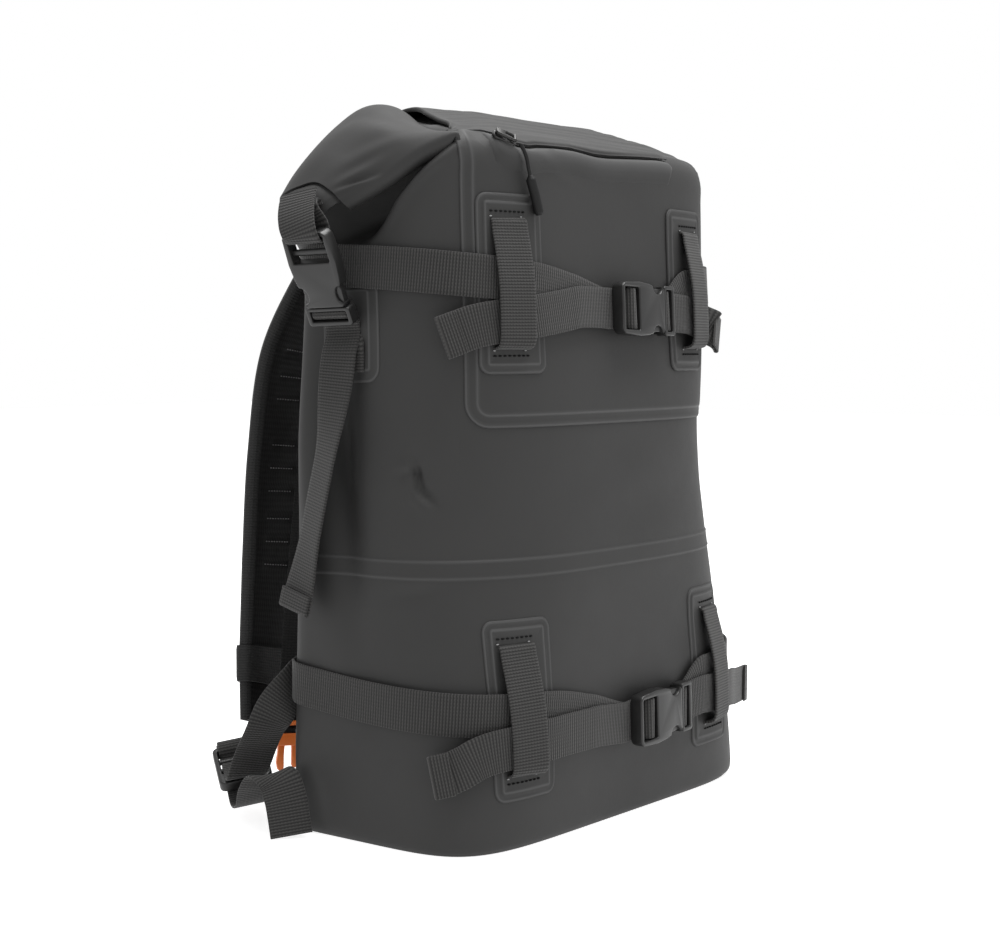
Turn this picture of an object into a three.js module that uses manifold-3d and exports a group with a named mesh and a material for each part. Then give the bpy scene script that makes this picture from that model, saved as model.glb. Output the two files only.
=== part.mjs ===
import * as THREE from "three";
import { mergeVertices } from "three/addons/utils/BufferGeometryUtils.js";
import Module from "manifold-3d";

const wasm = await Module();
wasm.setup();

// A waterproof roll-top backpack that stands on its base. Millimetres, +Z up, the front faces -Y,
// and the origin is the centre of the base. A place on the shell is given by s, the distance round the
// shell from the middle of the front (positive to the right), by its height z and by its lift off the surface.

// Driving dimensions
const WALL = 2;
const GAP = 0.4;
const PATCH_GAP = 0.6;
const POCKET_GAP = 1;
const WEB = { width: 25, thick: 1.4 };
const CHEST_WEB = { width: 20, thick: 1.4 };
const SEAM = { low: 155, high: 165, rise: 0.8, slope: 0.6 };
const POCKET = { low: 239, high: 396, left: -130, right: 130, corner: 16, thick: 1.2 };
const LOOP = { length: 80, patchWidth: 38, patchLength: 108, patchThick: 0.8, corner: 7 };
const ZIP = { low: 406, high: 414.5, left: -106, right: 92, thick: 1.2 };
const BUCKLE = { length: 58, width: 34, thick: 9 };
const ROLL = { half: 108, y: 35, low: 426.8, width: 42, height: 11, layer: 1.5, pitch: 2.1, turns: 1.7 };
const EAR = {
  topBack: new THREE.Vector3(-96, 54, 434.8),
  topFront: new THREE.Vector3(-129.5, -45.5, 413.6),
  tipFront: new THREE.Vector3(-163.5, 13, 361),
  tipBack: new THREE.Vector3(-173.5, 52, 374),
  thick: 2.4,
  lift: 0.9,
  bulge: 5,
};

// Sections of the shell: height, half width, y of the front and back, y of the widest line, squareness of
// each half, and how far the side is tucked in under the ear
const SECTIONS = [
  { z: 0, half: 150, front: -70, back: 70, line: 36, nf: 5.2, nb: 5, tuck: 0 },
  { z: 3, half: 154.5, front: -74.5, back: 74, line: 37, nf: 5.4, nb: 5, tuck: 0 },
  { z: 10, half: 156.5, front: -76, back: 75.5, line: 37, nf: 5.4, nb: 5, tuck: 0 },
  { z: 80, half: 156, front: -77, back: 76, line: 37, nf: 4.4, nb: 5, tuck: 0 },
  { z: 157, half: 153, front: -74, back: 76, line: 37, nf: 3.4, nb: 5, tuck: 0 },
  { z: 230, half: 149, front: -69, back: 76, line: 37, nf: 3.3, nb: 5, tuck: 0 },
  { z: 300, half: 146, front: -63, back: 76, line: 37, nf: 4.1, nb: 5, tuck: 0 },
  { z: 350, half: 146, front: -60, back: 76, line: 37, nf: 4.3, nb: 5, tuck: 1 },
  { z: 385, half: 146, front: -58, back: 75.5, line: 37, nf: 4.5, nb: 5, tuck: 14 },
  { z: 398, half: 144, front: -56.5, back: 74, line: 37, nf: 5, nb: 5, tuck: 18 },
  { z: 407, half: 140, front: -53, back: 70, line: 37, nf: 5.2, nb: 5, tuck: 17 },
  { z: 413, half: 133, front: -45, back: 65, line: 37, nf: 5, nb: 5, tuck: 13 },
  { z: 418, half: 125, front: -32, back: 60, line: 36, nf: 4.5, nb: 5, tuck: 8 },
  { z: 422, half: 118, front: -14, back: 54, line: 35, nf: 4, nb: 5, tuck: 3 },
  { z: 425.2, half: 112, front: 20, back: 40, line: 31, nf: 4, nb: 5, tuck: 0 },
  { z: 426.4, half: 110, front: 27, back: 33, line: 30, nf: 4, nb: 4, tuck: 0 },
];
const TUCK = { y: 27, spread: 34 };

// Numbers between the rows of a table, by a smooth curve through each column
function tableAt(rows, key, at) {
  const last = rows.length - 1;
  let i = 0;
  while (i < last - 1 && rows[i + 1][key] <= at) i++;
  const step = rows[i + 1][key] - rows[i][key];
  const t = THREE.MathUtils.clamp((at - rows[i][key]) / step, 0, 1);
  const slope = (k, column) => {
    const a = rows[Math.max(k - 1, 0)];
    const b = rows[Math.min(k + 1, last)];
    return (b[column] - a[column]) / (b[key] - a[key]);
  };
  const out = {};
  for (const column of Object.keys(rows[0])) {
    const p = rows[i][column];
    const q = rows[i + 1][column];
    const m = slope(i, column) * step;
    const n = slope(i + 1, column) * step;
    const cube = (2 * t - 3) * t * t;
    out[column] = (1 + cube) * p - cube * q + ((t - 2) * t + 1) * t * m + (t - 1) * t * t * n;
  }
  return out;
}

// The outline of the shell at one height, as points with their distance from the middle of the front
const outlines = new Map();
const OUTLINE_STEPS = 180;

function outlineAt(z) {
  const name = z.toFixed(3);
  if (outlines.has(name)) return outlines.get(name);
  const row = tableAt(SECTIONS, "z", z);
  const points = [];
  for (let i = 0; i <= OUTLINE_STEPS; i++) {
    const angle = (Math.PI * i) / OUTLINE_STEPS;
    const sine = Math.sin(angle);
    const cosine = Math.cos(angle);
    const depth = cosine > 0 ? row.line - row.front : row.back - row.line;
    const n = cosine > 0 ? row.nf : row.nb;
    const radius = (Math.abs(sine / row.half) ** n + Math.abs(cosine / depth) ** n) ** (-1 / n);
    const y = row.line - radius * cosine;
    const inwards = (row.tuck * Math.exp(-(((y - TUCK.y) / TUCK.spread) ** 2)) * radius * sine) / row.half;
    points.push(new THREE.Vector2(radius * sine - inwards, y));
  }
  const along = [0];
  for (let i = 1; i <= OUTLINE_STEPS; i++) along.push(along[i - 1] + points[i].distanceTo(points[i - 1]));
  const outline = { points, along, half: along[OUTLINE_STEPS] };
  outlines.set(name, outline);
  return outline;
}

function bare(s, z) {
  const { points, along, half } = outlineAt(z);
  const side = s < 0 ? -1 : 1;
  const distance = Math.min(Math.abs(s), half);
  let i = 1;
  while (i < OUTLINE_STEPS && along[i] < distance) i++;
  const t = (distance - along[i - 1]) / (along[i] - along[i - 1]);
  const p = points[i - 1].clone().lerp(points[i], t);
  return new THREE.Vector3(side * p.x, p.y, z);
}

const TOP = SECTIONS[SECTIONS.length - 1].z;

// Unit directions on the shell: along s, up the wall, and outwards
function directions(s, z) {
  const low = Math.max(z - 0.6, 0);
  const high = Math.min(z + 0.6, TOP);
  const along = bare(s + 1.5, z).sub(bare(s - 1.5, z)).normalize();
  const up = bare(s, high).sub(bare(s, low)).normalize();
  const out = along.clone().cross(up).normalize();
  return { along, up: out.clone().cross(along).normalize(), out };
}

function onShell(s, z, lift) {
  return bare(s, z).addScaledVector(directions(s, z).out, lift);
}

// Closed solids from grids of points
function turnedOutwards(geometry) {
  const p = geometry.getAttribute("position");
  const index = geometry.index.array;
  let volume = 0;
  const [a, b, c] = [new THREE.Vector3(), new THREE.Vector3(), new THREE.Vector3()];
  for (let i = 0; i < index.length; i += 3) {
    a.fromBufferAttribute(p, index[i]);
    b.fromBufferAttribute(p, index[i + 1]);
    c.fromBufferAttribute(p, index[i + 2]);
    volume += a.dot(b.cross(c));
  }
  if (volume < 0) {
    for (let i = 0; i < index.length; i += 3) [index[i], index[i + 1]] = [index[i + 1], index[i]];
  }
  return geometry;
}

function meshFrom(points, triangles) {
  const flat = new Float32Array(points.length * 3);
  points.forEach((p, i) => p.toArray(flat, 3 * i));
  const geometry = new THREE.BufferGeometry();
  geometry.setAttribute("position", new THREE.BufferAttribute(flat, 3));
  geometry.setIndex(triangles);
  return turnedOutwards(geometry);
}

// Rings of equally many points joined into a tube; each end is closed flat by a given list of triangles
function ringSolid(rings, capTriangles) {
  const count = rings[0].length;
  const triangles = [];
  for (let r = 0; r + 1 < rings.length; r++) {
    for (let j = 0; j < count; j++) {
      const a = r * count + j;
      const b = r * count + ((j + 1) % count);
      triangles.push(a, b, b + count, a, b + count, a + count);
    }
  }
  const end = (rings.length - 1) * count;
  for (const [i, j, k] of capTriangles) {
    triangles.push(i, k, j, end + i, end + j, end + k);
  }
  return meshFrom(rings.flat(), triangles);
}

// A profile of [across, out] pairs carried along frames of an origin and two directions
function sweep(frames, profileAt) {
  const first = profileAt(0);
  const flat = first.map(([x, y]) => new THREE.Vector2(x, y));
  const caps = THREE.ShapeUtils.triangulateShape(flat, []);
  const rings = frames.map(({ origin, across, out }, i) =>
    profileAt(i / (frames.length - 1)).map(([x, y]) =>
      origin.clone().addScaledVector(across, x).addScaledVector(out, y),
    ),
  );
  return ringSolid(rings, caps);
}

// Frames along a smooth curve through points; the width stays as near as it can to a given direction
function framesAlong(points, widthNear, perSpan) {
  const curve = new THREE.CatmullRomCurve3(points);
  const count = (points.length - 1) * perSpan;
  const frames = [];
  for (let i = 0; i <= count; i++) {
    const t = i / count;
    const origin = curve.getPoint(t);
    const tangent = curve.getTangent(t).normalize();
    const across = widthNear(t, origin).clone();
    across.addScaledVector(tangent, -across.dot(tangent)).normalize();
    frames.push({ origin, across, out: tangent.clone().cross(across).normalize() });
  }
  return frames;
}

function flatProfile(width, thick) {
  const w = width / 2;
  const t = thick / 2;
  return [
    [-w, -t],
    [w, -t],
    [w, t],
    [-w, t],
  ];
}

const UP = new THREE.Vector3(0, 0, 1);

function webbing(points, widthNear, web) {
  const frames = framesAlong(points, widthNear, 1);
  return sweep(frames, () => flatProfile(web.width, web.thick));
}

// Points that follow the shell through rows of s, z and lift
function trackOnShell(rows, step) {
  const curve = new THREE.CatmullRomCurve3(rows.map(({ s, z, lift }) => new THREE.Vector3(s, z, lift)));
  const count = Math.ceil(curve.getLength() / step);
  return curve.getSpacedPoints(count).map(({ x, y, z }) => onShell(x, y, z));
}

// A thin plate that follows the shell, with rounded corners
function plateOnShell({ left, right, low, high, corner, lift, thick, columns, bodyRows }) {
  const heights = [];
  const cornerSteps = corner > 0 ? 2 : 0;
  for (let i = 0; i < cornerSteps; i++) heights.push(low + corner * (1 - Math.cos((Math.PI * i) / 4)));
  const body = high - low - 2 * corner;
  for (let i = 0; i <= bodyRows; i++) heights.push(low + corner + (body * i) / bodyRows);
  for (let i = cornerSteps - 1; i >= 0; i--) heights.push(high - corner * (1 - Math.cos((Math.PI * i) / 4)));
  const rings = heights.map((z) => {
    const fromEnd = Math.min(z - low, high - z, corner);
    const inset = corner - Math.sqrt(Math.max(corner ** 2 - (corner - fromEnd) ** 2, 0));
    const at = (j) => left + inset + ((right - left - 2 * inset) * j) / columns;
    const inner = [];
    const outer = [];
    for (let j = 0; j <= columns; j++) {
      inner.push(onShell(at(j), z, lift));
      outer.push(onShell(at(j), z, lift + thick));
    }
    return [...inner, ...outer.reverse()];
  });
  const total = 2 * (columns + 1);
  const caps = [];
  for (let j = 0; j < columns; j++) {
    caps.push([j, j + 1, total - 2 - j], [j, total - 2 - j, total - 1 - j]);
  }
  return ringSolid(rings, caps);
}

// Booleans
function toSolid(geometry) {
  const plain = new THREE.BufferGeometry();
  const source = geometry.index ? geometry.toNonIndexed() : geometry;
  plain.setAttribute("position", source.getAttribute("position"));
  const merged = mergeVertices(plain, 1e-4);
  return new wasm.Manifold(
    new wasm.Mesh({
      numProp: 3,
      vertProperties: new Float32Array(merged.getAttribute("position").array),
      triVerts: new Uint32Array(merged.index.array),
    }),
  );
}

function fromSolid(solid) {
  const { numProp, numVert, vertProperties, triVerts } = solid.getMesh();
  const flat = new Float32Array(numVert * 3);
  for (let i = 0; i < numVert; i++) flat.set(vertProperties.subarray(i * numProp, i * numProp + 3), 3 * i);
  const geometry = new THREE.BufferGeometry();
  geometry.setAttribute("position", new THREE.BufferAttribute(flat, 3));
  geometry.setIndex(new THREE.BufferAttribute(new Uint32Array(triVerts), 1));
  return geometry;
}

function joined(...geometries) {
  return fromSolid(geometries.map(toSolid).reduce((a, b) => a.add(b)));
}

function cutBy(geometry, ...tools) {
  return fromSolid(tools.map(toSolid).reduce((a, b) => a.subtract(b), toSolid(geometry)));
}

function block(x0, x1, y0, y1, z0, z1) {
  const box = new THREE.BoxGeometry(x1 - x0, y1 - y0, z1 - z0);
  return box.translate((x0 + x1) / 2, (y0 + y1) / 2, (z0 + z1) / 2);
}

function roundedShape(x0, x1, y0, y1, r) {
  const shape = new THREE.Shape();
  shape.moveTo(x0 + r, y0);
  shape.lineTo(x1 - r, y0);
  shape.absarc(x1 - r, y0 + r, r, -Math.PI / 2, 0);
  shape.lineTo(x1, y1 - r);
  shape.absarc(x1 - r, y1 - r, r, 0, Math.PI / 2);
  shape.lineTo(x0 + r, y1);
  shape.absarc(x0 + r, y1 - r, r, Math.PI / 2, Math.PI);
  shape.lineTo(x0, y0 + r);
  shape.absarc(x0 + r, y0 + r, r, Math.PI, 1.5 * Math.PI);
  return shape;
}

function slab(shape, z0, z1, curveSegments) {
  const solid = new THREE.ExtrudeGeometry(shape, { depth: z1 - z0, bevelEnabled: false, curveSegments });
  return solid.translate(0, 0, z0);
}

// Colours
const COLOURS = {
  coated_fabric: 0x464647,
  webbing: 0x3d3c3c,
  black_plastic: 0x1c1c1d,
  strap_mesh: 0x171717,
  orange_plastic: 0xe0723a,
  dark_metal: 0x2a2a2c,
};
const ROUGHNESS = { black_plastic: 0.45, dark_metal: 0.35 };
const bag = new THREE.Group();

function add(name, slot, geometry, placed) {
  const material = new THREE.MeshStandardMaterial({
    color: COLOURS[slot],
    roughness: ROUGHNESS[slot] ?? 0.8,
    metalness: slot === "dark_metal" ? 0.8 : 0,
  });
  material.name = slot;
  const mesh = new THREE.Mesh(geometry, material);
  mesh.name = name;
  if (placed) {
    mesh.quaternion.setFromRotationMatrix(placed.matrix);
    mesh.position.copy(placed.origin);
  }
  bag.add(mesh);
}

// A copy of a geometry on the other side of the bag
function mirrored(geometry) {
  const copy = geometry.clone().scale(-1, 1, 1);
  const index = copy.index.array;
  for (let i = 0; i < index.length; i += 3) [index[i], index[i + 1]] = [index[i + 1], index[i]];
  return copy;
}

function addPair(name, slot, geometry) {
  add(`${name}_left`, slot, geometry);
  add(`${name}_right`, slot, mirrored(geometry));
}

// Shell: columns close together on the corners, as shares of half the outline
function shellColumns(count) {
  const { points, along, half } = outlineAt(200);
  const measure = [0];
  const cornerWeight = 42;
  for (let i = 1; i <= OUTLINE_STEPS; i++) {
    const before = points[Math.max(i - 2, 0)];
    const middle = points[i - 1];
    const turn = i > 1 ? middle.clone().sub(before).angleTo(points[i].clone().sub(middle)) : 0;
    measure.push(measure[i - 1] + along[i] - along[i - 1] + cornerWeight * turn);
  }
  const shares = [];
  for (let k = 0; k <= count; k++) {
    const wanted = (measure[OUTLINE_STEPS] * k) / count;
    let i = 1;
    while (i < OUTLINE_STEPS && measure[i] < wanted) i++;
    const t = (wanted - measure[i - 1]) / (measure[i] - measure[i - 1]);
    shares.push((along[i - 1] + t * (along[i] - along[i - 1])) / half);
  }
  const left = shares.slice(1, -1).map((share) => -share);
  return [...left.reverse(), ...shares];
}

const COLUMNS = shellColumns(20);
const seamLift = (z) => (z >= SEAM.low && z <= SEAM.high ? SEAM.rise : 0);

function shellRing(z, lift) {
  const { half } = outlineAt(z);
  return COLUMNS.map((share) => onShell(share * half, z, lift));
}

// A flat ring at its own height that takes its outline from another height, moved inwards
function flatRing(z, outlineHeight, inset) {
  const { half } = outlineAt(outlineHeight);
  return COLUMNS.map((share) => {
    const p = bare(share * half, outlineHeight);
    const out = directions(share * half, outlineHeight).out.setZ(0).normalize();
    return p.addScaledVector(out, -inset).setZ(z);
  });
}

// The rings run down the inside and up the outside, or close the wall at both rims
function wallSolid(inner, outer, floorCentres) {
  const rings = [...inner, ...outer];
  const count = rings[0].length;
  const points = rings.flat();
  const triangles = [];
  const closed = !floorCentres;
  for (let r = 0; r < rings.length - (closed ? 0 : 1); r++) {
    const next = (r + 1) % rings.length;
    for (let j = 0; j < count; j++) {
      const k = (j + 1) % count;
      const [a, b, c, d] = [r * count + j, r * count + k, next * count + k, next * count + j];
      triangles.push(a, b, c, a, c, d);
    }
  }
  if (floorCentres) {
    points.push(floorCentres[0], floorCentres[1]);
    const end = (rings.length - 1) * count;
    for (let j = 0; j < count; j++) {
      const k = (j + 1) % count;
      triangles.push(points.length - 2, k, j, points.length - 1, end + j, end + k);
    }
  }
  return meshFrom(points, triangles);
}

const BASE_HEIGHTS = [10, 45, 80, 116, SEAM.low - GAP];
const baseInner = [
  flatRing(WALL, 6, WALL + 2.5),
  ...[8, ...BASE_HEIGHTS.slice(1)].map((z) => shellRing(z, -WALL)),
];
const baseOuter = [...BASE_HEIGHTS, 3, 0].sort((a, b) => b - a).map((z) => shellRing(z, 0));
const floorCentres = [new THREE.Vector3(0, 0, WALL), new THREE.Vector3(0, 0, 0)];
add("base_shell", "coated_fabric", wallSolid(baseInner, baseOuter, floorCentres));

const UPPER_HEIGHTS = [195, 235, 275, 310, 340, 365, 385, 398, 407, 413, 418, 422, 425.2];
const upperInner = [
  shellRing(SEAM.low, -WALL),
  ...[SEAM.high, ...UPPER_HEIGHTS].map((z) => shellRing(z, -WALL)),
  flatRing(TOP, TOP, WALL),
];
const upperOuter = [SEAM.low, SEAM.high, SEAM.high + SEAM.slope, ...UPPER_HEIGHTS, TOP];
const upperOuterRings = upperOuter.reverse().map((z) => shellRing(z, seamLift(z)));
add("upper_shell", "coated_fabric", wallSolid(upperInner, upperOuterRings, null));

// Rolled mouth: a flattened spiral above the mouth, with an ear of cloth that folds down on each side
function rollProfile() {
  const steps = 24;
  const outer = [];
  const inner = [];
  for (let i = 0; i <= steps; i++) {
    const turn = (ROLL.turns * i) / steps;
    const angle = 2 * Math.PI * turn - Math.PI / 2;
    const a = ROLL.width / 2 - turn * ROLL.pitch;
    const b = ROLL.height / 2 - turn * ROLL.pitch;
    outer.push([a * Math.cos(angle), b * Math.sin(angle)]);
    inner.push([(a - ROLL.layer) * Math.cos(angle), (b - ROLL.layer) * Math.sin(angle)]);
  }
  return [...outer, ...inner.reverse()];
}

function rollSolid() {
  const profile = rollProfile();
  const ends = [-ROLL.half, ROLL.half].map((x) => ({
    origin: new THREE.Vector3(x, ROLL.y, ROLL.low + ROLL.height / 2),
    across: new THREE.Vector3(0, 1, 0),
    out: UP,
  }));
  return sweep(ends, () => profile);
}

// down runs from the top to the tip, back from the front edge to the back edge
function earPoint(down, back) {
  const top = EAR.topFront.clone().lerp(EAR.topBack, back);
  const tip = EAR.tipFront.clone().lerp(EAR.tipBack, back);
  return top.lerp(tip, down);
}

function earSolid() {
  const alongTop = EAR.topBack.clone().sub(EAR.topFront);
  const alongSide = EAR.tipFront.clone().sub(EAR.topFront);
  const out = alongTop.cross(alongSide).normalize();
  if (out.z < 0) out.negate();
  const rows = 7;
  const columns = 5;
  const rings = [];
  for (let i = 0; i <= rows; i++) {
    const inner = [];
    const outer = [];
    for (let j = 0; j <= columns; j++) {
      const down = i / rows;
      const back = j / columns;
      const swell = EAR.lift + EAR.bulge * 4 * down * (1 - down) * (0.5 + 0.5 * back);
      inner.push(earPoint(down, back).addScaledVector(out, swell));
      outer.push(earPoint(down, back).addScaledVector(out, swell + EAR.thick));
    }
    rings.push([...inner, ...outer.reverse()]);
  }
  const total = 2 * (columns + 1);
  const caps = [];
  for (let j = 0; j < columns; j++) {
    caps.push([j, j + 1, total - 2 - j], [j, total - 2 - j, total - 1 - j]);
  }
  return ringSolid(rings, caps);
}

const ear = earSolid();
add("rolled_mouth", "coated_fabric", joined(rollSolid(), ear, mirrored(ear)));

// Front pocket with its zip
const POCKET_LIFT = POCKET_GAP + POCKET.thick;
add(
  "pocket_panel",
  "coated_fabric",
  plateOnShell({ ...POCKET, lift: POCKET_GAP, columns: 16, bodyRows: 5 }),
);
const zipPlate = { ...ZIP, corner: 4, lift: PATCH_GAP, columns: 8, bodyRows: 1 };
add("zip_strip", "coated_fabric", plateOnShell(zipPlate));

function frameAt(s, z, lift, turn) {
  const { along, up, out } = directions(s, z);
  const matrix = new THREE.Matrix4().makeBasis(along, up, out);
  matrix.multiply(new THREE.Matrix4().makeRotationZ(turn));
  return { origin: onShell(s, z, lift), matrix };
}

function placeIn(frame, x, y, z) {
  return new THREE.Vector3(x, y, z).applyMatrix4(frame.matrix).add(frame.origin);
}

const SLIDER = { s: -97, z: 410, length: 15, width: 8, thick: 5 };
const sliderFrame = frameAt(SLIDER.s, SLIDER.z, PATCH_GAP + ZIP.thick + GAP + SLIDER.thick / 2, 0);
const sliderBody = slab(
  roundedShape(-SLIDER.length / 2, SLIDER.length / 2, -SLIDER.width / 2, SLIDER.width / 2, 2.5),
  -SLIDER.thick / 2,
  SLIDER.thick / 2,
  3,
);
const sliderSlot = block(1, 4, -5, 5, 0.2, 1.4);
add("zip_slider", "dark_metal", cutBy(sliderBody, sliderSlot), sliderFrame);

// The pull is a short cord that ends in a moulded tab
const PULL = [
  { s: -94, z: 408, lift: 8, radius: 1.2 },
  { s: -91, z: 401, lift: 8.2, radius: 1.2 },
  { s: -87, z: 393, lift: 7.4, radius: 1.3 },
  { s: -84, z: 386, lift: 7.2, radius: 2.6 },
  { s: -81, z: 378, lift: 7.4, radius: 3.2 },
  { s: -77, z: 367, lift: 7.4, radius: 3.2 },
];
const pullPoints = PULL.map(({ s, z, lift }) => onShell(s, z, lift));
const pullFrames = framesAlong(pullPoints, () => new THREE.Vector3(1, 0, 0), 1);
const pullSizes = PULL.map(({ radius }, i) => new THREE.Vector3(i, radius, 0));
const pullRadius = new THREE.CatmullRomCurve3(pullSizes);
const EIGHTHS = Array.from({ length: 8 }, (_, i) => (i * Math.PI) / 4);
const ROUND = EIGHTHS.map((angle) => [Math.cos(angle), Math.sin(angle)]);
add(
  "zip_pull",
  "black_plastic",
  sweep(pullFrames, (t) => {
    const radius = pullRadius.getPoint(t).y;
    return ROUND.map(([x, y]) => [x * radius, y * radius]);
  }),
);

// Strap loops on the front, each on its patch: the place of its middle, and what it lies on
const LOOPS = [
  { name: "upper_left", s: -100, z: 326, ground: POCKET_LIFT },
  { name: "upper_right", s: 88, z: 326, ground: POCKET_LIFT },
  { name: "lower_left", s: -107, z: 81, ground: 0 },
  { name: "lower_right", s: 97, z: 81, ground: 0 },
];
for (const { name, s, z, ground } of LOOPS) {
  const patch = {
    left: s - LOOP.patchWidth / 2,
    right: s + LOOP.patchWidth / 2,
    low: z - LOOP.patchLength / 2,
    high: z + LOOP.patchLength / 2,
    corner: LOOP.corner,
    lift: ground + PATCH_GAP,
    thick: LOOP.patchThick,
  };
  add(`loop_patch_${name}`, "coated_fabric", plateOnShell({ ...patch, columns: 4, bodyRows: 4 }));
  const seat = ground + PATCH_GAP + LOOP.patchThick + GAP + WEB.thick / 2;
  const half = LOOP.length / 2;
  const arch = [
    { z: -half, lift: seat },
    { z: -half + 3, lift: seat + 0.3 },
    { z: -half + 4.2, lift: seat + 2.6 },
    { z: -half + 6, lift: seat + 5.2 },
    { z: -half + 12, lift: seat + 5.9 },
    { z: 0, lift: seat + 5.9 },
    { z: half - 22, lift: seat + 3.2 },
    { z: half - 6, lift: seat + 0.3 },
    { z: half, lift: seat },
  ];
  const points = arch.map((row) => onShell(s, z + row.z, row.lift));
  const sideways = directions(s, z).along;
  add(`strap_loop_${name}`, "webbing", webbing(points, () => sideways, WEB));
}

// Side-release buckle lying along X: the socket on the -X side, the plug on the +X side, each with a ladder end
const LADDER = { endBar: 3, slotOut: 5.5, wrapBar: 3.5, wrapThick: 3 };
const SOCKET_END = 7;

function ladderSlots(side) {
  const reach = BUCKLE.length / 2;
  const halfOpening = WEB.width / 2 + 0.8;
  const outer = reach - LADDER.endBar;
  const inner = outer - LADDER.slotOut;
  const next = inner - LADDER.wrapBar;
  const slotIn = next - LADDER.slotOut;
  const cuts = [
    [outer, inner, -9, 9],
    [next, slotIn, -9, 9],
    [inner + 0.1, next - 0.1, LADDER.wrapThick / 2, 9],
    [inner + 0.1, next - 0.1, -9, -LADDER.wrapThick / 2],
  ];
  return cuts.map(([a, b, low, high]) => {
    const [x0, x1] = side > 0 ? [b, a] : [-a, -b];
    return block(x0, x1, -halfOpening, halfOpening, low, high);
  });
}

function buckleSocket() {
  const { length, width, thick } = BUCKLE;
  const shape = roundedShape(-length / 2, SOCKET_END, -width / 2, width / 2, 3);
  const body = slab(shape, -thick / 2, thick / 2, 2);
  const notches = [-1, 1].map((side) => {
    const disc = new THREE.CylinderGeometry(7, 7, thick + 2, 10).rotateX(Math.PI / 2);
    return disc.translate(0.5, (side * width) / 2 + side * 0.5, 0);
  });
  const hollow = block(-9, SOCKET_END + 1, -13.4, 13.4, -2.7, 2.7);
  return cutBy(body, hollow, ...notches, ...ladderSlots(-1));
}

function bucklePlug() {
  const { length, width, thick } = BUCKLE;
  const shape = roundedShape(SOCKET_END + GAP, length / 2, -width / 2 + 0.5, width / 2 - 0.5, 2);
  const base = slab(shape, -thick / 2 + 0.5, thick / 2 - 0.5, 2);
  const arms = [-1, 1].map((side) => {
    const [y0, y1] = side > 0 ? [9, 12.8] : [-12.8, -9];
    return block(-8, SOCKET_END + 2, y0, y1, -2.2, 2.2);
  });
  const guide = block(-6, SOCKET_END + 2, -1.6, 1.6, -1.8, 1.8);
  return cutBy(joined(base, ...arms, guide), ...ladderSlots(1));
}

const socket = buckleSocket();
const plug = bucklePlug();

// Where a webbing turns round a buckle's wrap bar, from the side under the buckle to the side over it
const WRAP = [
  { x: 34, z: -6.2 },
  { x: 24, z: -6 },
  { x: 17.5, z: -4.6 },
  { x: 14.2, z: -1.2 },
  { x: 14.6, z: 2.3 },
  { x: 18, z: 4.8 },
  { x: 24, z: 6 },
  { x: 33, z: 6.2 },
];
const wrapRound = (frame, side) => WRAP.map(({ x, z }) => placeIn(frame, side * x, 0, z));

// Compression straps: the buckle's place, then each side from its sewn end to the buckle and out along its tail
const COMPRESSION = [
  {
    name: "upper",
    buckle: { s: 19, z: 312, lift: 10.8, turn: -0.03 },
    main: [
      { s: 262, z: 340, lift: 2.1 },
      { s: 205, z: 337, lift: 1.8 },
      { s: 160, z: 334, lift: 2 },
      { s: 130, z: 331, lift: 5.1 },
      { s: 78, z: 326, lift: 5.2 },
    ],
    leftEnd: { s: -45, z: 320, lift: 5.2 },
    leftTail: [
      { s: -45, z: 311, lift: 11 },
      { s: -78, z: 307, lift: 7.6 },
      { s: -122, z: 302, lift: 7.5 },
      { s: -132, z: 298.5, lift: 9.5 },
      { s: -140, z: 295, lift: 12.5 },
    ],
    rightTail: [
      { s: 74, z: 309, lift: 8 },
      { s: 106, z: 304, lift: 7.5 },
    ],
    rightEnd: [
      { x: 114, y: -68, z: 301 },
      { x: 123, y: -70, z: 296 },
    ],
  },
  {
    name: "lower",
    buckle: { s: 21, z: 61, lift: 9.2, turn: 0.04 },
    main: [
      { s: 268, z: 90, lift: 2.1 },
      { s: 212, z: 85, lift: 1.8 },
      { s: 165, z: 82, lift: 1.9 },
      { s: 136, z: 80, lift: 3.3 },
      { s: 78, z: 76, lift: 3.3 },
    ],
    leftEnd: { s: -45, z: 69, lift: 3.4 },
    leftTail: [
      { s: -45, z: 61, lift: 9.4 },
      { s: -84, z: 62, lift: 5.8 },
      { s: -134, z: 58, lift: 5.8 },
      { s: -150, z: 50, lift: 8 },
      { s: -160, z: 47, lift: 11 },
    ],
    rightTail: [
      { s: 76, z: 63, lift: 6.4 },
      { s: 122, z: 61, lift: 5.8 },
    ],
    rightEnd: [
      { x: 148, y: -63, z: 57 },
      { x: 183, y: -49, z: 53 },
    ],
  },
];
const TRACK_STEP = 12;
const towards = (side, rows) => rows.map(({ s, z, lift }) => ({ s: side * s, z, lift }));

for (const strap of COMPRESSION) {
  const { s, z, lift, turn } = strap.buckle;
  const frame = frameAt(s, z, lift, turn);
  add(`${strap.name}_buckle_socket`, "black_plastic", socket, frame);
  add(`${strap.name}_buckle_plug`, "black_plastic", plug, frame);
  const left = [
    ...trackOnShell([...towards(-1, strap.main), strap.leftEnd], TRACK_STEP),
    ...wrapRound(frame, -1),
    ...trackOnShell(strap.leftTail, TRACK_STEP),
  ];
  const right = [
    ...trackOnShell(strap.main, TRACK_STEP),
    ...wrapRound(frame, 1),
    ...trackOnShell(strap.rightTail, TRACK_STEP),
    ...strap.rightEnd.map(({ x, y, z }) => new THREE.Vector3(x, y, z)),
  ];
  const upTheWall = directions(s, z).up;
  add(`${strap.name}_strap_left`, "webbing", webbing(left, () => upTheWall, WEB));
  add(`${strap.name}_strap_right`, "webbing", webbing(right, () => upTheWall, WEB));
}

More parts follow.
